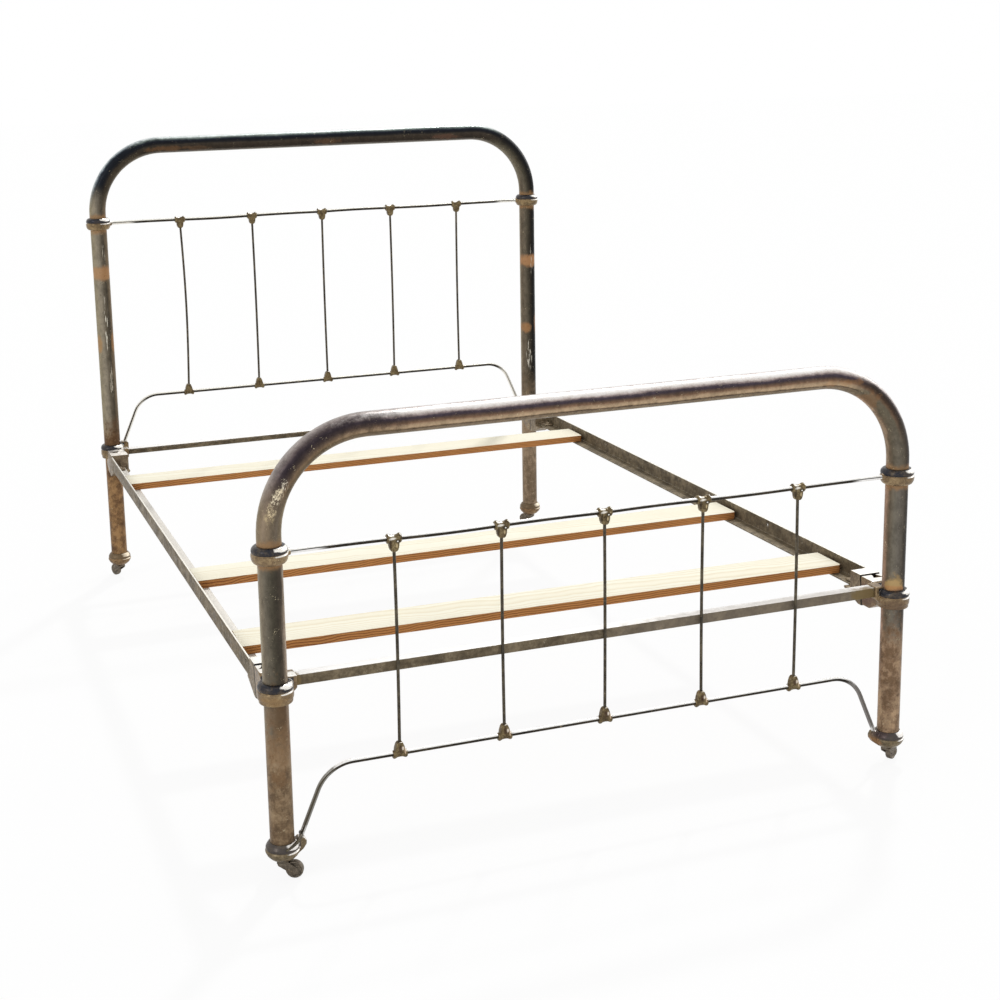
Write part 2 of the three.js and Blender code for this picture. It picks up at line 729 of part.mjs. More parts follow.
// Post foot: turned acorn with a groove, an ear for the bottom rod and a bore for the caster stem
function addPostFoot(place, corner) {
  const low = FOOT_BOTTOM_Z;
  const body = turned([
    [STEM_RADIUS + GAP, low],
    [15, low],
    [24, low + 6],
    [31, low + 13],
    [FOOT_RADIUS, low + 21.5],
    [FOOT_RADIUS - 2, low + 24],
    [FOOT_RADIUS - 1.2, low + 28],
    [29.2, low + 36],
    [25.4, FOOT_TOP_Z],
    [STEM_RADIUS + GAP, FOOT_TOP_Z],
  ], COLLAR_SEGMENTS);
  const parts = [body];
  const tools = [postBore(POST_BOTTOM_Z - GAP, FOOT_TOP_Z + 20)];
  if (corner.y < 0) {
    const entryZ = FOOT_BOTTOM_ROD_Z - ROD_DROP;
    parts.push(plateXZ([
      [18, low + 3],
      [27, low + 7.5],
      [40, low + 17],
      [FOOT_EAR_REACH - 1, low + 26],
      [FOOT_EAR_REACH, low + 34],
      [FOOT_EAR_REACH - 5, entryZ + 1.5],
      [32, entryZ + 2.5],
      [25, entryZ - 3],
    ], -FOOT_EAR_DEPTH / 2, FOOT_EAR_DEPTH / 2));
    tools.push(bottomRodBore(entryZ));
  }
  addPiece(place, `post_foot_${corner.name}`, handed(cut(join(parts), tools), corner), 'casting');
}

// Fork: stem, shoulder, two teardrop cheeks and the riveted axle, trailing toward +X
function addCasterFork(place, corner) {
  const inner = WHEEL_WIDTH / 2 + CHEEK_GAP;
  const outer = inner + CHEEK_THICKNESS;
  const shoulderTop = FOOT_BOTTOM_Z - GAP;
  const outline = [];
  for (let i = 0; i <= 5; i += 1) {
    const angle = THREE.MathUtils.degToRad(-142 + i * 36);
    outline.push([
      CASTER_TRAIL + 8.6 * Math.cos(angle),
      WHEEL_RADIUS + 8.6 * Math.sin(angle),
    ]);
  }
  outline.push([9, shoulderTop - 1], [-11, shoulderTop - 1], [-9, 27]);
  const cheek = plateXZ(outline, inner, outer);
  const bridge = box([-11, -outer, shoulderTop - 6], [9, outer, shoulderTop - 1]);
  const shoulder = cylinder(12.5, shoulderTop - 4, shoulderTop, 12);
  const stem = cylinder(STEM_RADIUS, shoulderTop - 2, STEM_TOP_Z, ROD_SIDES);
  const wheelRoom = cylinder(WHEEL_RADIUS + 1, -inner, inner, WHEEL_SEGMENTS)
    .rotate([90, 0, 0])
    .translate([CASTER_TRAIL, 0, WHEEL_RADIUS]);
  const shell = cut(join([cheek, cheek.scale([1, -1, 1]), bridge, shoulder, stem]), [wheelRoom]);
  const axle = cylinder(AXLE_RADIUS, -outer - 1, outer + 1, 8);
  const head = cylinder(4.6, outer - 0.5, outer + 1.6, 8);
  const rivet = join([axle, head, head.scale([1, 1, -1])]).rotate([90, 0, 0])
    .translate([CASTER_TRAIL, 0, WHEEL_RADIUS]);
  addPiece(place, `caster_fork_${corner.name}`, join([shell, rivet]), 'caster');
}

// Wheel: rounded tread, dished faces and a hub with its axle hole; it stands on a flat of its tread
function addCasterWheel(place, corner) {
  const half = WHEEL_WIDTH / 2;
  const bore = AXLE_RADIUS + GAP;
  const tread = WHEEL_RADIUS / Math.cos(Math.PI / WHEEL_SEGMENTS);
  const wheel = turned([
    [bore, -half],
    [6.6, -half],
    [7.2, -half + 2.4],
    [12.8, -half + 2.4],
    [14.4, -half + 0.4],
    [tread, -half + 2.6],
    [tread, half - 2.6],
    [14.4, half - 0.4],
    [12.8, half - 2.4],
    [7.2, half - 2.4],
    [6.6, half],
    [bore, half],
  ], WHEEL_SEGMENTS).rotate([0, 0, 180 / WHEEL_SEGMENTS]);
  const piece = addPiece(place, `caster_wheel_${corner.name}`, wheel.rotate([90, 0, 0]), 'wheel');
  piece.position.set(CASTER_TRAIL, 0, WHEEL_RADIUS);
}

for (const end of ENDS) {
  const place = placeOn(bed, 0, end.y);
  addArch(place, end);
  addTopRod(place, end);
  addBottomRod(place, end);
  addCrossRail(place, end);
  for (let number = 1; number <= SPINDLE_COUNT; number += 1) {
    const x = (number - (SPINDLE_COUNT + 1) / 2) * SPINDLE_SPACING;
    addUpperKnuckle(place, end, number, x);
    addSpindle(place, end, number, x);
  }
}

for (const corner of CORNERS) {
  const place = placeOn(bed, corner.x * HALF_SPACING, corner.y * HALF_LENGTH);
  addCollar(place, corner, ENDS[corner.y < 0 ? 0 : 1]);
  addCornerCasting(place, corner);
  addRailHook(place, corner);
  addPostFoot(place, corner);
  const caster = placeOn(place, 0, 0, CASTER_HEADINGS[corner.name]);
  addCasterFork(caster, corner);
  addCasterWheel(caster, corner);
}

addSideRail(-1, 'left');
addSideRail(1, 'right');
SLATS.forEach(addSlat);

export default bed;
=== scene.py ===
"""An old iron bed with two bent-tube ends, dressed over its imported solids.

Lengths in the classes are millimetres, and finished meshes are metres in the frame of the bed:
+X to the right seen from the foot, +Y from foot to head, +Z up, the floor at zero.
"""

import logging
import math
from dataclasses import dataclass, field
from enum import Enum
from typing import Callable, Iterable, Sequence

import bmesh
import bpy
from mathutils import Matrix, Vector


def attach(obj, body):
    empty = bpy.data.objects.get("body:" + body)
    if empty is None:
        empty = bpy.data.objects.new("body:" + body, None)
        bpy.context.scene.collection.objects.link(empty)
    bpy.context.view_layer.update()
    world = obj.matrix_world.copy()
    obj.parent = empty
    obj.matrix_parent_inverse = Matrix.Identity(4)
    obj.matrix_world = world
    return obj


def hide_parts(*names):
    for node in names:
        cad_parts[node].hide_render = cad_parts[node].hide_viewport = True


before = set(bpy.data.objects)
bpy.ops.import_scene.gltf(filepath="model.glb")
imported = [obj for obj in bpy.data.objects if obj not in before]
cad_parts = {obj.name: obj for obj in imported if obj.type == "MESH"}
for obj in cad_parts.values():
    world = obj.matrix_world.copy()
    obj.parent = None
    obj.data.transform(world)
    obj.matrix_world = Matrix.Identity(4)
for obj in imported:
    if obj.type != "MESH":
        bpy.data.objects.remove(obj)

MM = 0.001
FIXED = "bed_frame"

# Limits that no direction reaches, and the room between parts that fit into each other

NEVER = (2.0, 3.0)
PLAY = 0.3

# Posts and bows: half the distances of the posts' axes, radii, and the height of the top rails

HALF_SPACING = 686.0
HALF_LENGTH = 1004.0
TUBE_RADIUS = 23.8
BEND_RADIUS = 195.5
RAIL_Z = {"foot": 881.5, "head": 1311.5}

# Rods: heights of both rods and of the lower one's ends, and where those ends meet a casting

TOP_ROD_Z = {"foot": 653.0, "head": 1088.0}
BOTTOM_ROD_Z = {"foot": 215.0, "head": 560.0}
ROD_END_Z = {"foot": 78.0, "head": 423.0}
EAR_REACH = 37.0
ROD_SLOPE = 2.35
ROD_RADIUS = 4.75
ROD_ROOM = ROD_RADIUS + PLAY
KNUCKLE_SPACING = 221.5

# Cross rails: height of the top, distance of the back from the posts' axes, and section

TIE_TOP = 405.0
TIE_BACK = 6.2
TIE_DEPTH = 25.0
TIE_HEIGHT = 21.0
TIE_WALL = 4.0

# Side rails: underside, wall, the tabs of the hooks on them, and the bolts of these tabs

SIDE_RAIL_Z = 368.0
SIDE_RAIL_WALL = 4.0
TAB_Z = SIDE_RAIL_Z + SIDE_RAIL_WALL + PLAY
TAB_THICKNESS = 5.0
BOLT_Y = 856.0
BOLT_OUTSET = 3.0

# Casters: how far the wheel trails, and the height of its axle

CASTER_TRAIL = 22.0
AXLE_Z = 17.5

# Inclined joint of castings and hooks: height, and distance from the post along the rail

JOINT_LOW = (344.0, 73.0)
JOINT_HIGH = (408.0, 79.0)

log = logging.getLogger("iron_bed")

Point = Sequence[float]
Feed = bpy.types.NodeSocket | float | Sequence[float] | str
Bands = Sequence[tuple[float, str]]
Row = tuple[float, float, float, float, str, float, float]


class Across(Enum):
    """The axis along which a plate is thick."""

    X = Vector((1.0, 0.0, 0.0))
    Y = Vector((0.0, 1.0, 0.0))
    Z = Vector((0.0, 0.0, 1.0))


class Corner(Enum):
    """A post of the bed: its name and the side that it stands on in X and Y."""

    FOOT_LEFT = ("foot_left", -1, -1)
    FOOT_RIGHT = ("foot_right", 1, -1)
    HEAD_LEFT = ("head_left", -1, 1)
    HEAD_RIGHT = ("head_right", 1, 1)

    @property
    def label(self) -> str:
        """Name used in the names of the pieces."""
        return self.value[0]

    @property
    def side(self) -> str:
        """Left or right, seen from the foot."""
        return "left" if self.value[1] < 0 else "right"

    @property
    def end(self) -> str:
        """Foot or head."""
        return "foot" if self.value[2] < 0 else "head"

    @property
    def x(self) -> int:
        """Side in X."""
        return self.value[1]

    @property
    def y(self) -> int:
        """Side in Y."""
        return self.value[2]


def tint(code: str) -> tuple[float, float, float, float]:
    """Linear colour of a six-digit hex code.

    Args:
        code: Red, green and blue, two digits each.

    Returns:
        The colour with its alpha of one.
    """
    parts = [int(code[i : i + 2], 16) / 255 for i in (0, 2, 4)]
    linear = [c / 12.92 if c <= 0.04045 else ((c + 0.055) / 1.055) ** 2.4 for c in parts]
    return (linear[0], linear[1], linear[2], 1.0)


# Mesh work


class Form:
    """A closed mesh in the making, in millimetres, shaped with bmesh operators."""

    def __init__(self, bm: bmesh.types.BMesh | None = None) -> None:
        """Starts empty or from a given bmesh."""
        self.bm = bm if bm is not None else bmesh.new()

    @classmethod
    def turned(cls, profile: Sequence[tuple[float, float]], steps: int = 72,
               soften: float = 0.0) -> "Form":
        """Spins a profile about the upright axis.

        Args:
            profile: Points of radius and height; it closes on itself unless it starts on the axis.
            steps: Facets around.
            soften: Size of the rounding at the corners of the profile.

        Returns:
            The closed turned form.
        """
        bm = bmesh.new()
        verts = [bm.verts.new((radius, 0.0, height)) for radius, height in profile]
        closed = profile[0][0] > 0
        for first, second in zip(verts, verts[1:] + (verts[:1] if closed else [])):
            bm.edges.new((first, second))
        if soften:
            corners = [v for v in bm.verts if len(v.link_edges) == 2]
            bmesh.ops.bevel(bm, geom=corners, offset=soften, offset_type="OFFSET", segments=4,
                            profile=0.5, affect="VERTICES", clamp_overlap=True, material=-1)
        bmesh.ops.spin(bm, geom=list(bm.verts) + list(bm.edges), cent=(0, 0, 0), axis=(0, 0, 1),
                       angle=math.tau, steps=steps, use_merge=True)
        return cls(bm).cleaned()

    @classmethod
    def plate(cls, outline: Sequence[tuple[float, float]], low: float, high: float,
              across: Across) -> "Form":
        """Extrudes an outline to a plate.

        Args:
            outline: Points in the two axes other than the one across, in their order.
            low: Lower face along the axis across.
            high: Upper face along the axis across.
            across: Axis along which the plate is thick.

        Returns:
            The closed plate.
        """
        places: dict[Across, Callable[[float, float], Point]] = {
            Across.X: lambda a, b: (low, a, b),
            Across.Y: lambda a, b: (a, low, b),
            Across.Z: lambda a, b: (a, b, low),
        }
        bm = bmesh.new()
        face = bm.faces.new([bm.verts.new(places[across](a, b)) for a, b in outline])
        grown = bmesh.ops.extrude_face_region(bm, geom=[face])
        top = [item for item in grown["geom"] if isinstance(item, bmesh.types.BMVert)]
        bmesh.ops.translate(bm, verts=top, vec=across.value * (high - low))
        return cls(bm).cleaned()

    @classmethod
    def drum(cls, radius: float, low: float, high: float, sides: int = 32,
             top: float | None = None) -> "Form":
        """Upright cylinder or cone.

        Args:
            radius: Radius, at the lower end if the ends differ.
            low: Height of the lower end.
            high: Height of the upper end.
            sides: Facets around.
            top: Radius at the upper end, if the ends differ.

        Returns:
            The closed cylinder or cone.
        """
        bm = bmesh.new()
        bmesh.ops.create_cone(bm, cap_ends=True, segments=sides, radius1=radius,
                              radius2=radius if top is None else top, depth=high - low)
        return cls(bm).moved(0, 0, (low + high) / 2)

    @classmethod
    def block(cls, low: Point, high: Point) -> "Form":
        """Box between two corners.

        Args:
            low: Corner with the smallest X, Y and Z.
            high: Corner with the largest X, Y and Z.

        Returns:
            The box.
        """
        bm = bmesh.new()
        bmesh.ops.create_cube(bm, size=1.0)
        size = Vector(high) - Vector(low)
        bmesh.ops.scale(bm, verts=bm.verts, vec=size)
        return cls(bm).moved(*(Vector(low) + size / 2))

    def copy(self) -> "Form":
        """An independent copy."""
        return Form(self.bm.copy())

    def cleaned(self) -> "Form":
        """Merges doubles and points every face outward.

        Returns:
            The form itself.
        """
        bmesh.ops.remove_doubles(self.bm, verts=self.bm.verts, dist=1e-4)
        bmesh.ops.recalc_face_normals(self.bm, faces=self.bm.faces)
        return self

    def moved(self, x: float, y: float, z: float) -> "Form":
        """Shifts the form."""
        bmesh.ops.translate(self.bm, verts=self.bm.verts, vec=(x, y, z))
        return self

    def turned_about(self, degrees: float, axis: str, centre: Point = (0, 0, 0)) -> "Form":
        """Turns the form about an axis through a centre."""
        bmesh.ops.rotate(self.bm, verts=self.bm.verts, cent=centre,
                         matrix=Matrix.Rotation(math.radians(degrees), 3, axis))
        return self

    def scaled(self, x: float, y: float, z: float) -> "Form":
        """Scales the form about the origin, and keeps its faces outward when it mirrors.

        Args:
            x: Factor along X.
            y: Factor along Y.
            z: Factor along Z.

        Returns:
            The form itself.
        """
        bmesh.ops.scale(self.bm, verts=self.bm.verts, vec=(x, y, z))
        if x * y * z < 0:
            bmesh.ops.reverse_faces(self.bm, faces=self.bm.faces)
        return self

    def softened(self, width: float, segments: int = 3, angle: float = 30.0) -> "Form":
        """Rounds the sharp edges.

        Args:
            width: Size of the rounding.
            segments: Facets across it.
            angle: Angle in degrees above which an edge counts as sharp.

        Returns:
            The form itself.
        """
        limit = math.radians(angle)
        sharp = [e for e in self.bm.edges
                 if len(e.link_faces) == 2 and e.calc_face_angle(0.0) > limit]
        bmesh.ops.bevel(self.bm, geom=sharp, offset=width, offset_type="OFFSET",
                        segments=segments, profile=0.5, affect="EDGES", clamp_overlap=True,
                        material=-1)
        return self

    def with_parts(self, *others: "Form") -> "Form":
        """Takes other forms into this one, as overlapping shells.

        Args:
            *others: Forms to take in; they stay as they are.

        Returns:
            The form itself.
        """
        for other in others:
            mesh = bpy.data.meshes.new("part")
            other.bm.to_mesh(mesh)
            self.bm.from_mesh(mesh)
            bpy.data.meshes.remove(mesh)
        return self

    def fused(self, voxel: float, smooth: int) -> "Form":
        """Melts overlapping shells into one skin.

        Args:
            voxel: Size of the cells of the new skin.
            smooth: Rounds of smoothing.

        Returns:
            The fused form.
        """
        def settings(thing: bpy.types.Object) -> None:
            """Adds the remesh and the smoothing.

            Args:
                thing: Scratch object to add them to.
            """
            remesh = thing.modifiers.new("skin", "REMESH")
            remesh.mode = "VOXEL"
            remesh.voxel_size = voxel
            soft = thing.modifiers.new("soft", "SMOOTH")
            soft.factor = 0.5
            soft.iterations = smooth
        return self._through(settings)

    def cut(self, *tools: "Form") -> "Form":
        """Takes tools out of the form.

        Args:
            *tools: Closed forms to take out.

        Returns:
            The form that is left.
        """
        made = [tool._object("tool") for tool in tools]

        def settings(thing: bpy.types.Object) -> None:
            """Adds one boolean for each tool.

            Args:
                thing: Scratch object to add them to.
            """
            for tool in made:
                cutter = thing.modifiers.new("cut", "BOOLEAN")
                cutter.operation = "DIFFERENCE"
                cutter.solver = "MANIFOLD"
                cutter.object = tool
        result = self._through(settings)
        for tool in made:
            drop(tool)
        return result

    def _object(self, name: str) -> bpy.types.Object:
        """Puts a copy of the mesh on a scratch object.

        Args:
            name: Name of the object.

        Returns:
            The scratch object.
        """
        mesh = bpy.data.meshes.new(name)
        self.bm.to_mesh(mesh)
        thing = bpy.data.objects.new(name, mesh)
        bpy.context.scene.collection.objects.link(thing)
        return thing

    def _through(self, settings: Callable[[bpy.types.Object], None]) -> "Form":
        """Runs the form through modifiers on a scratch object.

        Args:
            settings: Adds the modifiers to the object.

        Returns:
            A new form with their result.
        """
        thing = self._object("work")
        settings(thing)
        bpy.context.view_layer.update()
        graph = bpy.context.evaluated_depsgraph_get()
        mesh = bpy.data.meshes.new_from_object(thing.evaluated_get(graph))
        bm = bmesh.new()
        bm.from_mesh(mesh)
        bpy.data.meshes.remove(mesh)
        drop(thing)
        return Form(bm)

    def piece(self, name: str, finish: "Finish", slot: str, nodes: Iterable[str] = (),
              body: str = FIXED, sharp: float = 38.0) -> bpy.types.Object:
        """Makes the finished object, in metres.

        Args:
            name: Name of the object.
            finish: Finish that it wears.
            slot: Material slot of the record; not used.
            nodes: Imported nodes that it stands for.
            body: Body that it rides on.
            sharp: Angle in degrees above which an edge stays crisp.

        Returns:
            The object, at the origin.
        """
        bm = self.bm.copy()
        bmesh.ops.scale(bm, verts=bm.verts, vec=(MM, MM, MM))
        mesh = bpy.data.meshes.new(name)
        bm.to_mesh(mesh)
        bm.free()
        for polygon in mesh.polygons:
            polygon.use_smooth = True
        mesh.set_sharp_from_angle(angle=math.radians(sharp))
        mesh.materials.append(finish.material)
        thing = bpy.data.objects.new(name, mesh)
        bpy.context.scene.collection.objects.link(thing)
        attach(thing, body)
        if nodes:
            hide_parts(*nodes)
        log.info("%s: %d faces", name, len(mesh.polygons))
        return thing


def drop(thing: bpy.types.Object) -> None:
    """Removes a scratch object and its mesh.

    Args:
        thing: The object to remove.
    """
    mesh = thing.data
    bpy.data.objects.remove(thing)
    bpy.data.meshes.remove(mesh)


class RoundBar:
    """A round bar grown from one ring, straight by straight and bend by bend, in X and Z."""

    def __init__(self, radius: float, sides: int, start: tuple[float, float],
                 heading: float) -> None:
        """Places the first ring.

        Args:
            radius: Radius of the bar.
            sides: Facets around it.
            start: First point in X and Z.
            heading: Direction in degrees from +X toward +Z.
        """
        self.bm = bmesh.new()
        self.at = Vector((start[0], 0.0, start[1]))
        self.heading = math.radians(heading)
        turn = Matrix.Rotation(math.pi / 2 - self.heading, 4, "Y")
        bmesh.ops.create_circle(self.bm, cap_ends=False, segments=sides, radius=radius,
                                matrix=Matrix.Translation(self.at) @ turn)
        self.first = list(self.bm.edges)
        self.ring = list(self.bm.edges)

    def _along(self) -> Vector:
        """Unit vector of the heading."""
        return Vector((math.cos(self.heading), 0.0, math.sin(self.heading)))

    def straight(self, length: float, steps: int = 1, bow: float = 0.0,
                 sway: float = 0.0) -> "RoundBar":
        """Grows a straight stretch.

        Args:
            length: Its length.
            steps: Rings along it.
            bow: How far its middle lies to the left of the heading.
            sway: How far its middle lies toward +Y.

        Returns:
            The bar itself.
        """
        along = self._along()
        left = Vector((-along.z, 0.0, along.x))
        for i in range(steps):
            swell = math.sin(math.pi * (i + 1) / steps) - math.sin(math.pi * i / steps)
            step = along * (length / steps) + left * (bow * swell)
            step += Vector((0.0, sway * swell, 0.0))
            grown = bmesh.ops.extrude_edge_only(self.bm, edges=self.ring)["geom"]
            verts = [item for item in grown if isinstance(item, bmesh.types.BMVert)]
            bmesh.ops.translate(self.bm, verts=verts, vec=step)
            fresh = set(verts)
            self.ring = [item for item in grown if isinstance(item, bmesh.types.BMEdge)
                         and item.verts[0] in fresh and item.verts[1] in fresh]
        self.at += along * length
        return self

    def bend(self, radius: float, degrees: float, steps: int) -> "RoundBar":
        """Grows a bend.

        Args:
            radius: Radius of the bend at the axis of the bar.
            degrees: Its angle, to the left if positive.
            steps: Rings along it.

        Returns:
            The bar itself.
        """
        along = self._along()
        left = Vector((-along.z, 0.0, along.x))
        sign = 1.0 if degrees > 0 else -1.0
        angle = math.radians(abs(degrees))
        centre = self.at + left * radius * sign
        verts = list({v for e in self.ring for v in e.verts})
        spun = bmesh.ops.spin(self.bm, geom=verts + self.ring, cent=centre,
                              axis=(0.0, -sign, 0.0), angle=angle, steps=steps, use_merge=False)
        self.ring = [item for item in spun["geom_last"] if isinstance(item, bmesh.types.BMEdge)]
        self.heading += sign * angle
        left = Vector((-math.sin(self.heading), 0.0, math.cos(self.heading)))
        self.at = centre - left * radius * sign
        return self

    def solid(self) -> Form:
        """Closes both ends with a flat face.

        Returns:
            The bar as a closed form.
        """
        bmesh.ops.edgeloop_fill(self.bm, edges=self.first)
        bmesh.ops.edgeloop_fill(self.bm, edges=self.ring)
        return Form(self.bm).cleaned()

    def walled(self, thickness: float) -> Form:
        """Leaves the ends open and gives the skin a wall inward.

        Args:
            thickness: Thickness of the wall.

        Returns:
            The bar as a hollow form.
        """
        form = Form(self.bm).cleaned()
        bmesh.ops.solidify(form.bm, geom=form.bm.faces, thickness=thickness)
        return form


# Shader work


@dataclass(frozen=True)
class Cloud:
    """A kind of cloudy noise, and how the place is stretched before it is looked up."""

    scale: float
    detail: float
    rough: float
    stretch: Point = (1.0, 1.0, 1.0)


class Bench:
    """Adds linked shader nodes to one node tree."""

    def __init__(self, tree: bpy.types.NodeTree) -> None:
        """Takes the tree to work on."""
        self.tree = tree

    def put(self, kind: str, feeds: dict[str | int, Feed] | None = None,
            **settings: object) -> bpy.types.Node:
        """Adds a node.

        Args:
            kind: Type name of the node.
            feeds: Names or numbers of inputs, with a socket, a value or a hex colour for each.
            **settings: Properties of the node.

        Returns:
            The new node.
        """
        node = self.tree.nodes.new(kind)
        for key, value in settings.items():
            setattr(node, key, value)
        for key, feed in (feeds or {}).items():
            if isinstance(feed, bpy.types.NodeSocket):
                self.tree.links.new(feed, node.inputs[key])
            else:
                node.inputs[key].default_value = tint(feed) if isinstance(feed, str) else feed
        return node

    def calc(self, operation: str, first: Feed, second: Feed = 0.0,
             third: Feed = 0.0, clamp: bool = False) -> bpy.types.NodeSocket:
        """A named operation on one to three numbers."""
        return self.put("ShaderNodeMath", {0: first, 1: second, 2: third},
                        operation=operation, use_clamp=clamp).outputs[0]

    def times(self, first: Feed, second: Feed, more: Feed = 0.0,
              clamp: bool = False) -> bpy.types.NodeSocket:
        """Product of two numbers, plus a third."""
        return self.calc("MULTIPLY_ADD", first, second, more, clamp)

    def plus(self, first: Feed, second: Feed, clamp: bool = False) -> bpy.types.NodeSocket:
        """Sum of two numbers."""
        return self.calc("ADD", first, second, clamp=clamp)

    def minus(self, first: Feed, second: Feed) -> bpy.types.NodeSocket:
        """Difference of two numbers."""
        return self.calc("SUBTRACT", first, second)

    def swing(self, value: Feed, width: Feed, about: Feed = 0.0) -> bpy.types.NodeSocket:
        """A value from 0 to 1, made to swing about another one by a width."""
        return self.times(self.minus(value, 0.5), width, about)

    def vector(self, operation: str, first: Feed,
               second: Feed = (0.0, 0.0, 0.0)) -> bpy.types.NodeSocket:
        """A named operation on vectors; dot product and length give a number."""
        node = self.put("ShaderNodeVectorMath", {0: first, 1: second}, operation=operation)
        return node.outputs["Value" if operation in ("DOT_PRODUCT", "LENGTH") else "Vector"]

    def split(self, vector: Feed) -> tuple[bpy.types.NodeSocket, ...]:
        """The three parts of a vector."""
        return tuple(self.put("ShaderNodeSeparateXYZ", {0: vector}).outputs)

    def merge(self, x: Feed, y: Feed, z: Feed) -> bpy.types.NodeSocket:
        """A vector of three numbers."""
        return self.put("ShaderNodeCombineXYZ", {0: x, 1: y, 2: z}).outputs[0]

    def noise(self, where: Feed, scale: Feed, detail: float, rough: float,
              warp: float = 0.0) -> bpy.types.NodeSocket:
        """Cloudy noise between about 0.2 and 0.8."""
        return self.put("ShaderNodeTexNoise", {
            "Vector": where, "Scale": scale, "Detail": detail, "Roughness": rough,
            "Distortion": warp}).outputs[0]

    def cloud(self, where: Feed, kind: Cloud) -> bpy.types.NodeSocket:
        """Cloudy noise of a kind."""
        return self.noise(self.vector("MULTIPLY", where, kind.stretch), kind.scale, kind.detail,
                          kind.rough)

    def span(self, value: Feed, low: Feed, high: Feed, first: float = 0.0,
             second: float = 1.0) -> bpy.types.NodeSocket:
        """Smooth step from one value at low to another at high."""
        return self.put("ShaderNodeMapRange", {
            "Value": value, "From Min": low, "From Max": high, "To Min": first,
            "To Max": second}, interpolation_type="SMOOTHSTEP", clamp=True).outputs[0]

    def blend(self, factor: Feed, first: Feed, second: Feed,
              mode: str = "MIX") -> bpy.types.NodeSocket:
        """Mix of two colours."""
        return self.put("ShaderNodeMix", {0: factor, 6: first, 7: second}, data_type="RGBA",
                        blend_type=mode, clamp_factor=True).outputs[2]

    def ramp(self, value: Feed, stops: Bands) -> bpy.types.NodeSocket:
        """Looks a colour up.

        Args:
            value: Number between 0 and 1.
            stops: Places between 0 and 1 with their colours.

        Returns:
            The colour.
        """
        node = self.put("ShaderNodeValToRGB", {0: value})
        band = node.color_ramp
        while len(band.elements) > 1:
            band.elements.remove(band.elements[-1])
        band.elements[0].position = stops[0][0]
        band.elements[0].color = tint(stops[0][1])
        for place, code in stops[1:]:
            band.elements.new(place).color = tint(code)
        return node.outputs[0]

    def use(self, group: bpy.types.NodeTree, **feeds: Feed) -> bpy.types.NodeSocket:
        """Result of a node group."""
        return self.put("ShaderNodeGroup", feeds, node_tree=group).outputs[0]


